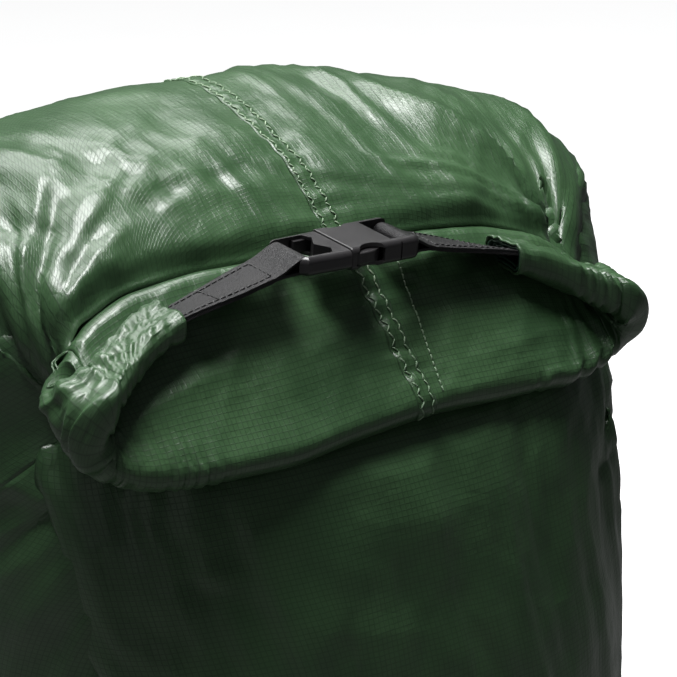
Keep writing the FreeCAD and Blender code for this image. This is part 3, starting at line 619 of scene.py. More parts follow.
# Places on the cloth: along the flattened mouth, below the mouth, round the tube, above the base.
flat_col = flat_place(np.arange(COLS), COLS)
below = (1 - np.linspace(0, 1, ROWS))[:, None] * col_length[None, :]
COL_WIDTH = 4 * HALF_FLAT / COLS
round_tube = np.arange(COLS)[None, :] * COL_WIDTH
above_base = np.linspace(0, 1, ROWS)[:, None] * col_length[None, :]
front_col = np.arange(COLS) < COLS // 2
flat_grid = np.broadcast_to(flat_col[None, :], (ROWS, COLS))
front_grid = np.broadcast_to(front_col[None, :], (ROWS, COLS))
SEAM_PLACE = 16.0  # the lengthways seam on the back, along the flattened mouth


def iron(grid):
    """Smooth the walls, less towards the mouth."""
    amount = (0.5 * sstep(18, 95, below) * sstep(0, 12, grid[..., 2] - 2))[..., None]
    for _ in range(16):
        bow = (np.roll(grid, 1, 1) + np.roll(grid, -1, 1)) * 0.5 - grid
        bow[1:-1] = bow[1:-1] * 0.5 + ((grid[2:] + grid[:-2]) * 0.5 - grid[1:-1]) * 0.5
        bow[0] = bow[-1] = 0
        grid = grid + bow * amount
    return grid


def draw_back_to_crease(grid):
    """Behind the roll the cloth runs in one smooth curve to the crease."""
    for c in range(COLS // 2, COLS):
        share = 1 - sstep(112, 150, abs(flat_col[c]))
        if share <= 0:
            continue
        first = int(np.argmin(np.abs(below[:, c] - 62.0)))
        start, end = grid[first, c], grid[-1, c]
        tangent = unit(start - grid[first - 8, c])
        reach = np.linalg.norm(end - start) * 0.34
        t = np.linspace(0, 1, ROWS - first)[:, None]
        handle1 = start + tangent * reach
        handle2 = end * 0.66 + start * 0.34 + np.array([0, 0, 2.5])
        curve = start * (1 - t) ** 3 + 3 * handle1 * t * (1 - t) ** 2
        curve = curve + 3 * handle2 * t * t * (1 - t) + end * t**3
        grid[first:, c] = grid[first:, c] * (1 - share) + curve * share
    return grid


# Folds that run out from each tip of the roll: folds per radian, wander and its length, noise row,
# seed, length of a fold, shift on the front, seed.
FAN_FOLDS = (
    (3.6, 0.5, 60, 0.2, 200, 300, 3, 201),
    (8.5, 0.6, 40, 0.6, 210, 170, 5, 211),
    (19.0, 0.8, 25, 0.9, 214, 90, 5, 215),
)


def tip_folds():
    total = np.zeros((ROWS, COLS))
    for k, (sign, tip_below) in enumerate(((-1, -14.0), (1, -10.0))):
        gap, drop = flat_grid - sign * 158.0, below - tip_below
        dist = np.hypot(gap, drop)
        angle = np.arctan2(drop, -sign * gap)
        broad, middle, fine = (
            ridged(
                angle * rate + wander * noise(dist / wander_len, row, seed=wander_seed + k),
                dist / fold_len + shift * front_grid,
                seed=seed + k,
            )
            for rate, wander, wander_len, row, wander_seed, fold_len, shift, seed in FAN_FOLDS
        )
        fade = 5.4 * np.exp(-dist / 150.0) + 1.2 * np.exp(-dist / 300.0)
        folds = broad * (1 - 0.35 * front_grid) * fade
        folds = folds + middle * 3.6 * np.exp(-dist / 120.0) + fine * 1.5 * np.exp(-dist / 80.0)
        total += folds * sstep(10, 55, dist)
    return total


def drapes():
    """Long drapes down the front wall and crossing creases, strongest on the back."""
    flat = flat_grid + 6 * noise(below / 75, flat_grid / 90, seed=220)
    down = below + 4 * noise(flat_grid / 60, below / 90, seed=224)
    shift = 2 * front_grid
    total = 2.3 * ridged(flat / 34.0, below / 380.0 + shift, seed=221) * front_grid
    fine = ridged(flat / 13.0, below / 160.0 + shift, seed=223)
    total = total + fine * (0.4 + 0.6 * front_grid)
    for k, tilt in enumerate((-0.55, 0.42, 0.12)):
        over = flat * math.cos(tilt) + down * math.sin(tilt)
        crease = -flat * math.sin(tilt) + down * math.cos(tilt)
        patches = 0.25 + 1.3 * noise(flat_grid / 55 + 7 * k, below / 60, seed=230 + k)
        lines = ridged(over / (19.0 - 4 * k), crease / 120.0 + 3 * k, seed=240 + k)
        strength = (2.7 - 0.4 * k) * np.clip(patches, 0, 1) * (1 - 0.55 * front_grid)
        total = total + strength * lines
    return total


def cloth_relief(grid):
    """Crackle, seam puckers, tip folds and drapes raised along the cloth's normals."""
    crackle = 0.16 * fbm(round_tube / 9.0, above_base / 46.0, seed=70)
    crackle = crackle + 0.10 * fbm(round_tube / 5.0, above_base / 7.0, seed=71)
    from_seam = np.abs(np.where(front_col, 1e3, flat_col - SEAM_PLACE))[None, :]
    wave = np.sin(above_base / 2.2 + 2.2 * noise(above_base / 13.0, round_tube / 15.0, seed=72))
    pucker = np.exp(-from_seam / 9.0) * 0.65 * wave * sstep(2, 12, below)
    pucker = pucker + np.exp(-from_seam / 2.2) * 0.5
    quiet = (1 - 0.6 * np.exp(-from_seam / 14.0)) * sstep(0, 14, below)
    height = crackle + pucker + (tip_folds() + drapes()) * quiet
    height = height * sstep(0, 8, below) * sstep(0, 6, above_base)
    return grid + grid_normals(grid) * height[..., None]


def press_behind_roll(grid):
    x, across, out = to_ring(grid)
    press = np.minimum(-4.6 + 24 * sstep(112, 150, np.abs(x)) - out, 0)
    press = press * (across > 3) * front_grid * sstep(1.2, 7, below)
    return grid + press[..., None] * OUT


sack = press_behind_roll(cloth_relief(draw_back_to_crease(iron(sack))))
sack_normals = grid_normals(sack)


# ---------------------------------------------------------------- mesh helpers
def new_object(name, verts, faces, mat=None, uv=None, smooth=True):
    mesh = bpy.data.meshes.new(name)
    mesh.from_pydata((np.asarray(verts) * MM).tolist(), [], faces)
    mesh.validate()
    ob = bpy.data.objects.new(name, mesh)
    bpy.context.scene.collection.objects.link(ob)
    if smooth:
        mesh.polygons.foreach_set("use_smooth", [True] * len(mesh.polygons))
    if uv is not None:
        layer = mesh.uv_layers.new(name="cloth")
        index = np.empty(len(mesh.loops), np.int32)
        mesh.loops.foreach_get("vertex_index", index)
        layer.data.foreach_set("uv", np.asarray(uv, np.float32)[index].ravel())
    if mat:
        mesh.materials.append(mat)
    mesh.update()
    return ob


def quads(rows, cols, start=0, wrap=True, close=False, flip=False, keep=None):
    """Faces of a point grid; wrap joins the last column to the first, close the last row."""
    faces = []
    for v in range(rows if close else rows - 1):
        row, after = start + v * cols, start + (v + 1) % rows * cols
        for u in range(cols if wrap else cols - 1):
            if keep is not None and not keep[v, u]:
                continue
            right = (u + 1) % cols
            face = (row + u, row + right, after + right, after + u)
            faces.append(face[::-1] if flip else face)
    return faces


def thicken(ob, thick, offset=-1.0):
    mod = ob.modifiers.new("thickness", "SOLIDIFY")
    mod.thickness = thick * MM
    mod.offset = offset
    mod.use_rim = True
    mod.use_even_offset = False


def bevel(ob, width, segments, angle):
    mod = ob.modifiers.new("edge", "BEVEL")
    mod.width = width * MM
    mod.segments = segments
    mod.limit_method = "ANGLE"
    mod.angle_limit = math.radians(angle)


def sheet(name, points, mat, thick, uv=None, keep=None, flip=False, offset=-1.0):
    """A cloth sheet from a grid of points, given real thickness."""
    rows, cols = points.shape[:2]
    faces = quads(rows, cols, wrap=False, flip=flip, keep=keep)
    used = np.unique(np.array(faces).ravel())
    renumber = -np.ones(rows * cols, np.int64)
    renumber[used] = np.arange(len(used))
    faces = [tuple(int(renumber[k]) for k in face) for face in faces]
    uv = None if uv is None else uv.reshape(-1, 2)[used]
    ob = new_object(name, points.reshape(-1, 3)[used], faces, mat, uv)
    thicken(ob, thick, offset)
    return ob


STITCH_R = 0.36
STITCH_SIDES = 6
# Rings of one stitch: share of its length, overhang, size and lift, the last three in radii.
STITCH_RINGS = (
    (0, -0.45, 0.45, -0.9),
    (0.10, 0, 0.92, -0.25),
    (0.5, 0, 1.0, 0.15),
    (0.90, 0, 0.92, -0.25),
    (1, 0.45, 0.45, -0.9),
)


def sew(name, stitches, mat):
    """Short rounded stitches from a list of (start, end, up)."""
    verts, faces = [], []
    rings = len(STITCH_RINGS)
    for start, end, up in stitches:
        start, end, up = np.asarray(start), np.asarray(end), np.asarray(up)
        length = np.linalg.norm(end - start)
        run = (end - start) / length
        side = unit(np.cross(run, up))
        lift_dir = np.cross(side, run)
        base = len(verts)
        for share, overhang, size, lift in STITCH_RINGS:
            middle = start + run * (length * share + STITCH_R * overhang)
            middle = middle + lift_dir * STITCH_R * lift
            for k in range(STITCH_SIDES):
                angle = 2 * math.pi * k / STITCH_SIDES
                spoke = side * math.cos(angle) + lift_dir * math.sin(angle)
                verts.append(middle + spoke * STITCH_R * size)
        faces += quads(rings, STITCH_SIDES, base)
        faces.append(tuple(base + k for k in range(STITCH_SIDES))[::-1])
        faces.append(tuple(base + (rings - 1) * STITCH_SIDES + k for k in range(STITCH_SIDES)))
    return new_object(name, np.array(verts), faces, mat)


def stitch_row(starts, ends, lift):
    """Stitches between two (points, normals) pairs, raised along the normals."""
    (start, start_up), (end, end_up) = starts, ends
    return list(zip(start + start_up * lift, end + end_up * lift, start_up))


def blend_out(ob, body_a, body_b, out_a, out_b):
    """Bake the object's transform into its mesh."""
    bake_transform(ob)


# ---------------------------------------------------------------- materials
class Shader:
    """Short ways to add nodes to a tree; links sockets and sets plain values."""

    def __init__(self, tree):
        self.tree = tree
        tree.nodes.clear()

    def node(self, kind, inputs=None, **props):
        node = self.tree.nodes.new("ShaderNode" + kind)
        for key, value in props.items():
            setattr(node, key, value)
        for key, value in (inputs or {}).items():
            if isinstance(value, bpy.types.NodeSocket):
                self.tree.links.new(value, node.inputs[key])
            else:
                node.inputs[key].default_value = value
        return node

    def get(self, kind, inputs=None, output=0, **props):
        return self.node(kind, inputs, **props).outputs[output]

    def math(self, operation, *values, clamp=False):
        return self.get("Math", dict(enumerate(values)), operation=operation, use_clamp=clamp)

    def add(self, a, b):
        return self.math("ADD", a, b)

    def sub(self, a, b, clamp=False):
        return self.math("SUBTRACT", a, b, clamp=clamp)

    def mul(self, a, b, clamp=False):
        return self.math("MULTIPLY", a, b, clamp=clamp)

    def ramp(self, factor, *stops):
        """Colour ramp with two (position, colour) stops."""
        node = self.node("ValToRGB", {0: factor})
        for element, (position, color) in zip(node.color_ramp.elements, stops):
            element.position = position
            element.color = (*color, 1)
        return node.outputs[0]

    def mix(self, factor, a, b):
        return self.get("Mix", {0: factor, 6: a, 7: b}, output=2, data_type="RGBA")

    def noise(self, scale, detail, vector=None, output=0, **more):
        inputs = {"Scale": scale, "Detail": detail, **more}
        if vector is not None:
            inputs["Vector"] = vector
        return self.get("TexNoise", inputs, output)

    def cells(self, vector, scale):
        """Distance to the edges of a cell pattern."""
        inputs = {"Vector": vector, "Scale": scale}
        return self.get("TexVoronoi", inputs, feature="DISTANCE_TO_EDGE")


BLACK, WHITE = (0, 0, 0), (1, 1, 1)


def new_material(name):
    mat = bpy.data.materials.new(name)
    mat.use_nodes = True
    return mat, Shader(mat.node_tree)


def cloth_material(name, base, light, pitch=2.27, rough=0.36, grid=True, translucent=0.05,
                   use_uv=True, gloss=0.5):
    """Coated cloth; pitch is the spacing of the heavier threads."""
    mat, sh = new_material(name)
    if use_uv:
        uv = sh.get("UVMap", uv_map="cloth")
    else:
        uv = sh.get("TexCoord", output="Object")
    axes = sh.node("SeparateXYZ", {0: uv}).outputs
    place = sh.get("TexCoord", output="Object")
    # ripstop: heavier threads on a square grid over a fine plain weave
    lines = []
    for k in (0, 1):
        cell = sh.math("FRACT", sh.mul(axes[k], 1000.0 / pitch))
        off_centre = sh.math("ABSOLUTE", sh.sub(cell, 0.5))
        from_edge = sh.sub(0.5, off_centre)
        lines.append(sh.sub(1.0, sh.mul(from_edge, 7.5), clamp=True))
    line = sh.math("MAXIMUM", *lines)
    weave_rate = 2 * math.pi * 1000 / 0.33
    weave = sh.mul(*(sh.math("SINE", sh.mul(axes[k], weave_rate)) for k in (0, 1)))
    blot = sh.noise(22.0, 4.0, place, Roughness=0.6)
    fine = sh.noise(420.0, 3.0, place, Roughness=0.6)
    # place shifted by noise, so that the crease cells bend
    warp = sh.noise(30.0, 3.0, place, output=1)
    bent = sh.get(
        "VectorMath", {0: warp, 1: (0.018, 0.018, 0.018), 2: place}, operation="MULTIPLY_ADD")
    crease = sh.cells(bent, 34.0)
    small_crease = sh.cells(bent, 120.0)
    # colour: blotches, darker thread lines, pale specks
    tone = sh.ramp(blot, (0.30, base), (0.72, light))
    dark = (base[0] * 0.35, base[1] * 0.4, base[2] * 0.38, 1)
    color = sh.mix(sh.mul(line, 0.62 if grid else 0.0), tone, dark)
    color = sh.mix(sh.mul(sh.sub(fine, 0.4), 0.25, clamp=True), color, (*light, 1))
    # height: threads proud, weave faint
    height = sh.mul(line, 0.55 if grid else 0.0)
    height = sh.add(height, sh.mul(weave, 0.03))
    threads = sh.get("Bump", {"Strength": 0.55, "Distance": 0.0002, "Height": height})

    def streak(scale_u, scale_v, turn):
        scaled = sh.get(
            "Mapping", {"Vector": uv, "Rotation": (0, 0, turn), "Scale": (scale_u, scale_v, 1)})
        value = sh.noise(1.0, 3.0, scaled, Roughness=0.55, Distortion=0.6)
        return sh.math("ABSOLUTE", sh.sub(value, 0.5))

    # crackle of the coating: cell edges less two slanting sets of streaks
    streaks = sh.add(streak(150.0, 26.0, 0.25), sh.mul(streak(90.0, 18.0, -0.35), 1.3))
    ridge = sh.math("MINIMUM", crease, 0.16)
    ridge = sh.add(ridge, sh.mul(sh.math("MINIMUM", small_crease, 0.14), 0.45))
    ridge = sh.sub(ridge, sh.mul(streaks, 0.55))
    normal = sh.get(
        "Bump", {"Strength": 0.26, "Distance": 0.0030, "Height": ridge, "Normal": threads})
    roughness = sh.add(sh.mul(blot, 0.16), rough - 0.08)
    roughness = sh.add(roughness, sh.mul(line, 0.08))
    surface = sh.get("BsdfPrincipled", {
        "Base Color": color,
        "Roughness": roughness,
        "Normal": normal,
        "Specular IOR Level": gloss,
        "Sheen Weight": 0.03,
        "Sheen Roughness": 0.4,
        "Sheen Tint": (0.75, 0.9, 0.78, 1),
        "Coat Weight": 0.3,
        "Coat Roughness": 0.2,
    })
    glow = (light[0] * 1.6, light[1] * 1.5, light[2] * 1.4, 1)
    through = sh.get("BsdfTranslucent", {"Color": glow, "Normal": normal})
    mixed = sh.get("MixShader", {0: translucent, 1: surface, 2: through})
    sh.node("OutputMaterial", {0: mixed})
    return mat


def solid_material(name, base, light, rough, scale, strength, distance, gloss=0.5, grain=False,
                   painted_edge_highlight=0.0):
    """Thread, leather or plastic; scale, strength and distance set its surface bumps."""
    mat, sh = new_material(name)
    place = sh.get("TexCoord", output="Object")
    if grain:
        pebbles = sh.mul(sh.cells(place, scale), 2.4, clamp=True)
        swell = sh.noise(scale * 0.25, 5.0, place)
        height = sh.add(pebbles, sh.mul(swell, 1.2))
    else:
        height = sh.noise(scale, 4.0, place, Roughness=0.6)
    blot = sh.noise(60.0, 4.0, place)
    color = sh.mix(sh.ramp(blot, (0.35, BLACK), (0.7, WHITE)), (*base, 1), (*light, 1))
    # painted highlight: convex edges are painted lighter, up to 2.4 times the light tone
    if painted_edge_highlight:
        pointed = sh.get("NewGeometry", output="Pointiness")
        edges = sh.ramp(pointed, (0.5, BLACK), (0.58, WHITE))
        color = sh.mix(sh.mul(edges, painted_edge_highlight), color, (*(part * 2.4 for part in light), 1))
    normal = sh.get("Bump", {"Strength": strength, "Distance": distance, "Height": height})
    surface = sh.get("BsdfPrincipled", {
        "Base Color": color,
        "Roughness": sh.add(sh.mul(blot, 0.16), rough - 0.08),
        "Normal": normal,
        "Specular IOR Level": gloss,
        "Coat Roughness": 0.2,
    })
    sh.node("OutputMaterial", {0: surface})
    return mat


GREEN = cloth_material("green_ripstop", base=(0.034, 0.084, 0.033), light=(0.060, 0.134, 0.054))
LINING = cloth_material(
    "green_ripstop_inner", base=(0.022, 0.066, 0.040), light=(0.034, 0.098, 0.056))
BINDING = cloth_material(
    "binding_tape", base=(0.016, 0.046, 0.024), light=(0.026, 0.068, 0.034), pitch=0.9,
    rough=0.62, translucent=0.0, use_uv=False, gloss=0.25)
TAPE = cloth_material(
    "seam_tape", base=(0.16, 0.22, 0.18), light=(0.24, 0.31, 0.26), grid=False, rough=0.22,
    translucent=0.1, use_uv=False)
THREAD = solid_material(
    "green_thread", base=(0.20, 0.30, 0.19), light=(0.34, 0.44, 0.30), rough=0.55,
    scale=2600.0, strength=0.6, distance=0.0002)
LEATHER = solid_material(
    "charcoal_tab", base=(0.011, 0.011, 0.012), light=(0.022, 0.021, 0.022), rough=0.5,
    scale=1500.0, strength=0.5, distance=0.00035, gloss=0.3, grain=True)
BLACK_THREAD = solid_material(
    "black_thread", base=(0.004, 0.004, 0.004), light=(0.012, 0.012, 0.012), rough=0.5,
    scale=2600.0, strength=0.6, distance=0.0002)
# black plastic with a painted highlight along its convex edges
PLASTIC = solid_material(
    "buckle_plastic", base=(0.016, 0.015, 0.016), light=(0.024, 0.023, 0.024), rough=0.33,
    scale=1900.0, strength=0.16, distance=0.00012, painted_edge_highlight=0.25)

# ---------------------------------------------------------------- sack walls and gussets
# The cloth next to the mouth on the turned-up ends belongs to the gussets.
wing_col = roll_place(np.abs(flat_col)) > BEND_X + BEND_LEN * 0.5
near_mouth = below < 16.0
HALF_COLS = COLS // 2
QUARTER_COLS = HALF_COLS // 2
BACK_BLEND = ("sack", "roll", -7.0, 1.5)


def sack_piece(name, first, last, gusset):
    cols = np.arange(first, last + 1)
    turn = cols % COLS
    uv = np.empty((ROWS, len(cols), 2))
    uv[..., 0] = cols * COL_WIDTH * MM
    uv[..., 1] = above_base[:, turn] * MM
    keep = wing_col[turn][None, :] & near_mouth[:, turn]
    if not gusset:
        keep = ~keep
    return sheet(name, sack[:, turn], GREEN, 0.7, uv, keep[:-1, :-1])


def build_sack():
    front = sack_piece("sack_front_wall", 0, HALF_COLS, gusset=False)
    back = sack_piece("sack_back_wall", HALF_COLS, COLS, gusset=False)
    blend_out(front, "sack", "roll", -4.2, 0.4)
    blend_out(back, *BACK_BLEND)
    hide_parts("neck_fold")
    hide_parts("body_panel")
    for side, middle in (("left", 0), ("right", HALF_COLS)):
        gusset = sack_piece(
            side + "_gusset", middle - QUARTER_COLS, middle + QUARTER_COLS, gusset=True)
        blend_out(gusset, "roll", side + "_end", BEND_R - 2.5, BEND_R + 4.0)


build_sack()

# ---------------------------------------------------------------- roll
ROLL_STEP = 1.0
ROLL_SIDES = 168
TURN_START = BEND_X - 4
TURN_END = WING_START + 3
INNER_RINGS, INNER_SIDES = 24, 72


def roll_sheet(name, start, end):
    """A closed length of the roll's outer layer."""
    steps = max(8, int(round((end - start) / ROLL_STEP)))
    along, around = np.meshgrid(
        np.linspace(start, end, steps + 1),
        np.linspace(0.0, 1.0, ROLL_SIDES + 1)[:-1],
        indexing="ij",
    )
    verts = roll_point(along, around).reshape(-1, 3)
    uv = np.stack([along, (around - 0.5) * 2 * 82], -1) * MM
    ob = new_object(name, verts, quads(steps + 1, ROLL_SIDES), GREEN, uv.reshape(-1, 2))
    thicken(ob, 0.9)
    return ob


def inner_turns(side, sign):
    """Inner layers of the wound cloth, showing at the wing's open end."""
    verts, faces, uvs = [], [], []
    for k, inset in enumerate((1.5, 2.9)):
        along, around = np.meshgrid(
            sign * np.linspace(ROLL_END - 26, ROLL_END - 0.4 - 1.1 * k, INNER_RINGS),
            np.linspace(0, 1, INNER_SIDES + 1)[:-1],
            indexing="ij",
        )
        faces += quads(INNER_RINGS, INNER_SIDES, len(verts), flip=sign < 0)
        verts += list(roll_point(along, around, inset).reshape(-1, 3))
        uvs += list(np.stack([along, (around - 0.5) * 60], -1).reshape(-1, 2) * MM)
    ob = new_object(side + "_inner_turns", np.array(verts), faces, LINING, np.array(uvs))
    thicken(ob, 0.7)
    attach(ob, side + "_end")


def build_roll():
    middle = roll_sheet("roll_middle", -TURN_START, TURN_START)
    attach(middle, "roll")
    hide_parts("rolled_mouth")
    for side, sign in (("left", -1), ("right", 1)):
        turn = roll_sheet(side + "_roll_turn", *sorted((sign * TURN_START, sign * TURN_END)))
        blend_out(turn, "roll", side + "_end", BEND_R - 1.6, BEND_R + 1.6)
        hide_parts(side + "_roll_bend")
        wing = roll_sheet(side + "_wing", *sorted((sign * TURN_END, sign * ROLL_END)))
        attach(wing, side + "_end")
        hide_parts(side + "_roll_end")
        inner_turns(side, sign)


build_roll()


# ---------------------------------------------------------------- seams
def sample_sack(flat, drop):
    """Points and normals on the back wall at places along and distances below the mouth."""
    col = (3 - np.asarray(flat) / HALF_FLAT) / 4 * COLS
    iu = np.floor(col).astype(int)
    tu = col - iu
    row = (1 - np.asarray(drop) / col_length[iu % COLS]) * (ROWS - 1)
    iv = np.clip(np.floor(row).astype(int), 0, ROWS - 2)
    tv = row - iv

    def pick(grid):
        total = 0.0
        for dv, share_v in ((0, 1 - tv), (1, tv)):
            for du, share_u in ((0, 1 - tu), (1, tu)):
                total = total + grid[iv + dv, (iu + du) % COLS] * (share_u * share_v)[..., None]
        return total

    return pick(sack), pick(sack_normals)


def zigzag(count, amount):
    """Alternating sideways offsets."""
    return np.where(np.arange(count) % 2 == 0, amount, -amount)


def fell_lift(side, run, height):
    """Height of a seam strip above the cloth: flat, closed at its edges and rippled."""
    return height * (1 - sstep(4.2, 5.0, np.abs(side))) + 0.15 * np.sin(run / 1.9 + side)


SEAM_LEN = float(col_length[int((3 - SEAM_PLACE / HALF_FLAT) / 4 * COLS) % COLS])
FELL_ACROSS = np.linspace(-5.0, 5.0, 9)


def build_side_seam():
    """The lengthways seam on the back: raised strip, two stitched rows and inner tape."""
    drops = np.linspace(3.0, SEAM_LEN - 12, 330)
    drop, side = np.meshgrid(drops, FELL_ACROSS, indexing="ij")
    points, normals = sample_sack(SEAM_PLACE + side, drop)
    points = points + normals * fell_lift(side, drop, 0.55)[..., None]
    strip = sheet("side_seam_strip", points, GREEN, 0.9, np.stack([side, drop], -1) * MM)
    blend_out(strip, *BACK_BLEND)
    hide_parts("side_seam_fell")

    pitch, gap = 2.9, 0.55
    stitches = []
    for offset in (-3.1, 3.1):
        starts = np.arange(4.0, SEAM_LEN - 14, pitch)
        swing = zigzag(len(starts), 0.7)
        stitches += stitch_row(
            sample_sack(SEAM_PLACE + offset + swing, starts),
            sample_sack(SEAM_PLACE + offset - swing, starts + pitch - gap),
            lift=0.85,
        )
    thread = sew("side_seam_stitches", stitches, THREAD)
    blend_out(thread, *BACK_BLEND)
    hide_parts("side_seam_thread")

    drop = drop[drops > 34]
    points, normals = sample_sack(SEAM_PLACE + np.linspace(-11, 11, 9)[None, :] + 0 * drop, drop)
    tape = sheet("side_seam_tape_strip", points - normals * 1.2, TAPE, 0.3)
    blend_out(tape, *BACK_BLEND)
    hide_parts("side_seam_tape")


def roll_seam_x(across):
    return 15.0 + (across / 78.0) * 6.0


def roll_surface(along, across):
    """Points and normals on the roll's outer face."""
    along, across = np.broadcast_arrays(np.asarray(along, float), np.asarray(across, float))
    lower, upper = lower_edge(along), upper_edge(along)
    radius = half_thickness(along)
    loop = 4 * ((lower - upper) / 2 - radius) + 2 * math.pi * radius
    around = (math.pi * radius / 2 + (across - upper - radius)) / loop
    by_along = roll_point(along + 0.4, around) - roll_point(along - 0.4, around)
    by_around = roll_point(along, around + 0.002) - roll_point(along, around - 0.002)
    normal = unit(np.cross(by_around, by_along), 1e-9)
    normal = np.where((normal @ OUT)[..., None] < 0, -normal, normal)
    return roll_point(along, around), normal


def build_roll_seam():
    """The same seam carried across the roll, and one more stitched line to its right."""
    across, side = np.meshgrid(
        np.linspace(1.5, 83.0, 150), FELL_ACROSS, indexing="ij")
    points, normals = roll_surface(roll_seam_x(across) + side, across)
    points = points + normals * fell_lift(side, across, 0.5)[..., None]
    uv = np.stack([side, across], -1) * MM
    strip = sheet("roll_seam_strip", points, GREEN, 0.8, uv, flip=True)
    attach(strip, "roll")
    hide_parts("roll_seam_fell")

    pitch = 2.8
    stitches = []
    for offset, swing in ((-2.6, 0.9), (3.0, 0.5)):
        starts = np.arange(2.0, 81.0, pitch)
        swing = zigzag(len(starts), swing)
        line = roll_seam_x(starts) + offset
        stitches += stitch_row(
            roll_surface(line + swing, starts), roll_surface(line - swing, starts + 2.3), lift=0.8)
    starts = np.arange(6.0, 72.0, pitch)
    line = 36.0 - (starts / 72.0) * 6.0
    stitches += stitch_row(
        roll_surface(line, starts), roll_surface(line - 0.2, starts + 2.1), lift=0.25)
    thread = sew("roll_seam_stitches", stitches, THREAD)
    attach(thread, "roll")
    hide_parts("roll_seam_thread")


build_side_seam()
build_roll_seam()

# ---------------------------------------------------------------- tabs
PLY = 1.15
TAB_HALF = 10.0
STITCH_LINE = 7.6  # of the long stitched lines, from the tab's middle
STITCH_FIRST = 1.5  # where the long lines start, from the roll's end
BAR_LOOP_R = 2.35 + PLY / 2
BAR_DIR = np.array([0, math.cos(BUCKLE_LEAN), math.sin(BUCKLE_LEAN)])


class Tab:
    """A doubled ribbon from one end of the roll round the buckle's bar and back."""

    def __init__(self, sign):
        self.sign = sign
        self.start = ring(sign * abs(END_X), END_ACROSS, END_OUT)
        reach = ring(sign * BAR_X, BAR_ACROSS, BAR_OUT) - self.start
        self.length = np.linalg.norm(reach)
        self.run = reach / self.length
        self.side = unit(BAR_DIR - self.run * (BAR_DIR @ self.run))
        self.up = np.cross(self.run, self.side)
        if self.up[2] < 0:
            self.up = -self.up
        # at the roll the tab is twisted about its run from how it lies at the bar
        twist = -0.22
        self.side_start = self.side * math.cos(twist) + self.up * math.sin(twist)
        self.up_start = self.up * math.cos(twist) - self.side * math.sin(twist)
        self.flat_end = self.length - 13
        self.last_row = self.flat_end - 1.5
        self.cross_row = STITCH_FIRST + (self.last_row - STITCH_FIRST) * 0.42

    def point(self, along, across, out):
        """World point along the tab from the roll's end, across it and out of its face."""
        along, across, out = np.broadcast_arrays(
            *(np.asarray(v, float) for v in (along, across, out)))
        share = sstep(0, self.flat_end, along)[..., None]
        side = unit(self.side_start * (1 - share) + self.side * share)
        up = self.up_start * (1 - share) + self.up * share
        up = unit(up - side * (up * side).sum(-1, keepdims=True))
        return (
            self.start
            + self.run * along[..., None]
            + side * across[..., None]
            + up * out[..., None]
        )

    def middle_line(self):
        """Along and out of the ribbon: out on the upper ply, round the bar, back on the lower."""
        ply_out = PLY / 2 + 0.06
        plies = [(along, ply_out) for along in np.linspace(-17, self.flat_end, 60)]
        for t in np.linspace(0, 1, 16)[1:]:
            ease = t * t * (3 - 2 * t)
            along = self.flat_end + (self.length - self.flat_end) * t
            plies.append((along, ply_out + (BAR_LOOP_R - ply_out) * ease))
        loop = [
            (self.length + BAR_LOOP_R * math.sin(angle), BAR_LOOP_R * math.cos(angle))
            for angle in np.linspace(0, math.pi, 22)[1:]
        ]
        back = [(along, -out) for along, out in reversed(plies)][1:]
        return np.array(plies + loop + back)

    def ribbon(self, name):
        line = self.middle_line()
        edge = TAB_HALF - np.array([0, 0.15, 0.5])
        inner = TAB_HALF - 1
        stations = np.concatenate([-edge, np.linspace(-inner, inner, 25), edge[::-1]])
        along, across = np.meshgrid(line[:, 0], stations, indexing="ij")
        out = np.broadcast_to(line[:, 1:], along.shape)
        # stitched lines are pulled in, the edges curl a little, the surface is not quite flat
        to_last = np.where(along < self.last_row + 2, np.abs(along - self.last_row), 99)
        to_stitch = np.minimum(np.abs(np.abs(across) - STITCH_LINE), to_last)
        to_stitch = np.minimum(to_stitch, np.abs(along - self.cross_row))
        dent = 0.26 * np.exp(-((to_stitch / 0.9) ** 2))
        dent = dent * (along < self.last_row + 3) * (along > -1)
        puff = 0.22 * np.clip(1 - (across / STITCH_LINE) ** 2, 0, 1)
        puff = puff * sstep(self.flat_end + 6, self.flat_end, along)
        puff = puff + 0.10 * fbm(along / 6 + 9 * self.sign, across / 6, seed=90)
        curl = 0.18 * np.clip((np.abs(across) - 9.3) / 0.7, 0, 1)
        wobble = 0.25 * noise(along / 13, 4.0 + self.sign, seed=91)
        width = 1 - 0.02 * noise(along / 9, 2.0, seed=92)
        points = self.point(
            along, across * width + wobble, out + np.sign(out) * (puff - dent - curl))
        if self.sign > 0:
            points = points[:, ::-1]
        uv = np.stack([along, across], -1) * MM
        ob = sheet(name, points, LEATHER, PLY, uv, flip=True, offset=0.0)
        bevel(ob, width=0.22, segments=2, angle=50)
        return ob

    def stitches(self, name):
        """Two long lines and two crossing ones, on both faces."""
        lines = [
            ((STITCH_FIRST, STITCH_LINE), (self.last_row, STITCH_LINE)),
            ((STITCH_FIRST, -STITCH_LINE), (self.last_row, -STITCH_LINE)),
            ((self.last_row, -STITCH_LINE), (self.last_row, STITCH_LINE)),
            ((self.cross_row, -STITCH_LINE), (self.cross_row, STITCH_LINE)),
        ]
        stitches = []
        for first, last in lines:
            first, last = np.array(first), np.array(last)
            count = int(np.hypot(*(last - first)) // 2.9)
            for face in (1, -1):
                out = face * (PLY + 0.10)
                for k in range(count):
                    begin = first + (last - first) * (k + 0.16) / count
                    end = first + (last - first) * (k + 0.84) / count
                    start = self.point(*begin, out)
                    up = self.point(*begin, out + face) - start
                    stitches.append((start, self.point(*end, out), up))
        return sew(name, stitches, BLACK_THREAD)


def build_tab(side, sign):
    tab = Tab(sign)
    ribbon = tab.ribbon(side + "_webbing_tab")
    thread = tab.stitches(side + "_tab_stitches")
    for ob in (ribbon, thread):
        if side == "left":
            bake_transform(ob)
        else:
            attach(ob, "right_end")
    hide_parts(side + "_tab")
    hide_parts(side + "_tab_thread")


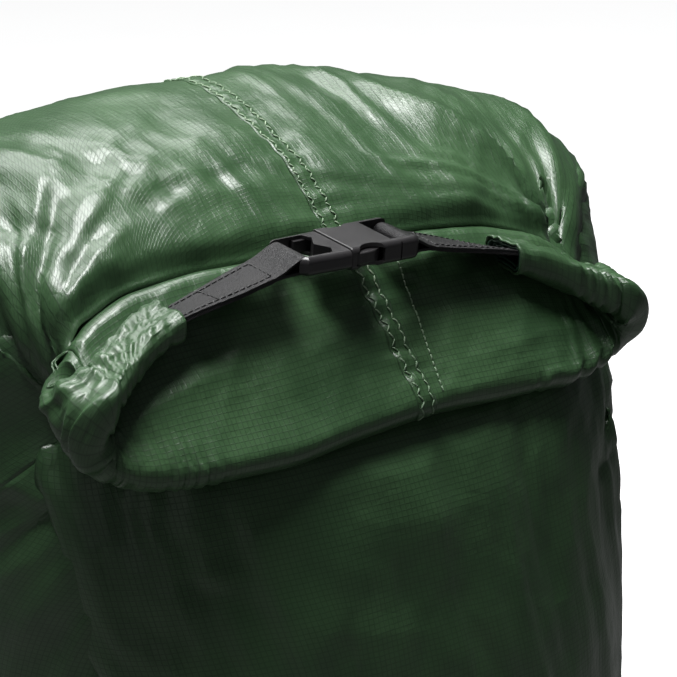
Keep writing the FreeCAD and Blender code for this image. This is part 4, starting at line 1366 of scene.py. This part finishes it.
build_tab("left", -1)
build_tab("right", 1)


# ---------------------------------------------------------------- base
def build_base_disc():
    rings, spokes = 40, 192
    radius, angle = np.meshgrid(
        np.linspace(0, 1, rings + 1)[1:] * (BAG_R - 0.9),
        np.arange(spokes) * 2 * math.pi / spokes,
        indexing="ij",
    )
    x, y = radius * np.cos(angle), radius * np.sin(angle)
    # softly uneven in the middle, puckered at the rim
    rim = sstep(BAG_R - 30, BAG_R - 2, radius)
    z = 0.35 + 0.5 * (1 + fbm(x / 30 + 5, y / 30, seed=100)) * (1 - rim)
    z = z + rim * (0.9 + 0.7 * np.sin(angle * 46 + 2 * noise(angle * 5, 1.0, seed=101)))
    z = np.clip(z, 0.05, 3.0)
    verts = np.vstack([[0, 0, 0.8], np.stack([x, y, z], -1).reshape(-1, 3)])
    faces = [(0, 1 + (k + 1) % spokes, 1 + k) for k in range(spokes)]
    faces += quads(rings, spokes, start=1)
    ob = new_object("base_disc_cloth", verts, faces, GREEN, verts[:, :2] * MM)
    thicken(ob, 0.6)
    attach(ob, "sack")
    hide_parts("base_panel")


# Closed section of the base binding: distance out from the wall, height.
BINDING_PROFILE = (
    (-1.2, 1.7), (0.2, 1.2), (1.0, 1.9), (1.25, 4.0),
    (1.3, 7.2), (1.05, 9.2), (0.3, 9.9), (-1.2, 9.5),
)


def binding_swell(angle):
    return 0.35 * noise(angle * 30, 2.0, seed=111)


def build_base_binding():
    """The rolled binding round the base and its row of stitches."""
    steps = 720
    angle = np.arange(steps) * 2 * math.pi / steps
    pucker = 0.22 * np.sin(angle * 150 + 2 * noise(angle * 20, 0.3, seed=110))
    pucker = pucker + binding_swell(angle)
    rows = []
    for offset, z in BINDING_PROFILE:
        radius = BAG_R + 0.5 + offset + pucker * (offset > 0)
        height = z + 0.25 * noise(angle * 26, z, seed=112)
        rows.append(np.stack([radius * np.cos(angle), radius * np.sin(angle), height], -1))
    faces = quads(len(rows), steps, close=True)
    binding = new_object("base_binding", np.array(rows).reshape(-1, 3), faces, BINDING)
    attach(binding, "sack")
    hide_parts("base_seam_binding")

    count = int(2 * math.pi * BAG_R / 3.3)
    stitches = []
    for k in range(count):
        start, end = 2 * math.pi * k / count, 2 * math.pi * (k + 0.74) / count
        radius = BAG_R + 1.95 + float(binding_swell(start))
        ends = [(radius * math.cos(turn), radius * math.sin(turn), 6.4) for turn in (start, end)]
        stitches.append((*ends, (math.cos(start), math.sin(start), 0)))
    thread = sew("base_stitches", stitches, THREAD)
    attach(thread, "sack")
    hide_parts("base_seam_thread")


build_base_disc()
build_base_binding()

# ---------------------------------------------------------------- parts kept from the CAD
KEPT_PARTS = (
    ("buckle_plug", PLASTIC),
    ("buckle_receiver", PLASTIC),
    ("front_latch_arm", PLASTIC),
    ("rear_latch_arm", PLASTIC),
    ("mouth_stiffener", LEATHER),
    ("base_seam_tape", TAPE),
)
for name, mat in KEPT_PARTS:
    ob = frame["nodes"][name]
    if not ob.data.materials:
        ob.data.materials.append(mat)
    for slot in ob.material_slots:
        slot.link = "OBJECT"
        slot.material = mat
    if mat is PLASTIC:
        bevel(ob, width=0.35, segments=3, angle=35)
        shade = ob.modifiers.new("shade", "WEIGHTED_NORMAL")
        shade.keep_sharp = True

# ---------------------------------------------------------------- floor, world, lights and camera
FLOOR_HALF = 3000.0
FLOOR_Z = -0.6


def build_floor():
    """A floor that looks near white to the camera but throws back little light."""
    corners = [
        (x * FLOOR_HALF, y * FLOOR_HALF, FLOOR_Z) for x, y in ((-1, -1), (1, -1), (1, 1), (-1, 1))]
    floor = new_object("floor", np.array(corners), [(0, 1, 2, 3)], smooth=False)
    mat, sh = new_material("floor_paper")
    mottle = sh.noise(40.0, 3.0)
    seen = sh.get("LightPath", output="Is Camera Ray")
    paper = sh.ramp(mottle, (0.3, (0.86, 0.86, 0.86)), (0.7, (0.90, 0.90, 0.90)))
    color = sh.mix(seen, (0.16, 0.16, 0.16, 1), paper)
    surface = sh.get("BsdfPrincipled", {"Base Color": color, "Roughness": 0.9})
    seen = sh.get("LightPath", output="Is Camera Ray")
    glow = sh.get("Emission", {"Color": (1, 1, 1, 1), "Strength": sh.mul(seen, 0.85)})
    sh.node("OutputMaterial", {0: sh.get("AddShader", {0: surface, 1: glow})})
    floor.data.materials.append(mat)


def build_world():
    """White to the camera, a dim cool light to everything else."""
    world = bpy.data.worlds.new("studio")
    bpy.context.scene.world = world
    world.use_nodes = True
    sh = Shader(world.node_tree)
    seen = sh.get("LightPath", output="Is Camera Ray")
    ambient = sh.get("Background", {"Color": (0.93, 0.96, 1.0, 1), "Strength": 0.06})
    white = sh.get("Background", {"Color": (1, 1, 1, 1), "Strength": 1.0})
    sh.node("OutputWorld", {0: sh.get("MixShader", {0: seen, 1: ambient, 2: white})})


def place_at(name, data, location, target):
    """Object in the scene with its -Z axis aimed at the target, both in metres."""
    ob = bpy.data.objects.new(name, data)
    bpy.context.scene.collection.objects.link(ob)
    ob.location = location
    aim = Vector(target) - Vector(location)
    ob.rotation_euler = aim.to_track_quat("-Z", "Y").to_euler()
    return ob


def area_light(name, location, target, size, power):
    light = bpy.data.lights.new(name, "AREA")
    light.shape = "RECTANGLE"
    light.size, light.size_y = size
    light.energy = power
    place_at(name, light, location, target)


def build_camera():
    data = bpy.data.cameras.new("camera")
    data.sensor_width = 36.0
    data.lens = 156.4
    data.clip_start = 0.05
    data.clip_end = 20
    location = (CREASE + np.array([-676.2, -931.8, 313.0])) * MM
    target = (CREASE + np.array([4.4, -16.8, -32.3])) * MM
    bpy.context.scene.camera = place_at("camera", data, location, target)


build_floor()
build_world()
area_light("key", location=(0.1, 0.95, 1.75), target=(0, -0.02, 0.46), size=(1.6, 0.55), power=18)
area_light("top", location=(-0.1, 0.03, 1.9), target=(0, -0.1, 0.45), size=(1.0, 0.45), power=37)
area_light("fill", location=(-1.7, -1.3, 0.9), target=(0, 0, 0.35), size=(1.2, 1.4), power=0.8)
build_camera()
bpy.context.scene.view_settings.view_transform = "Standard"
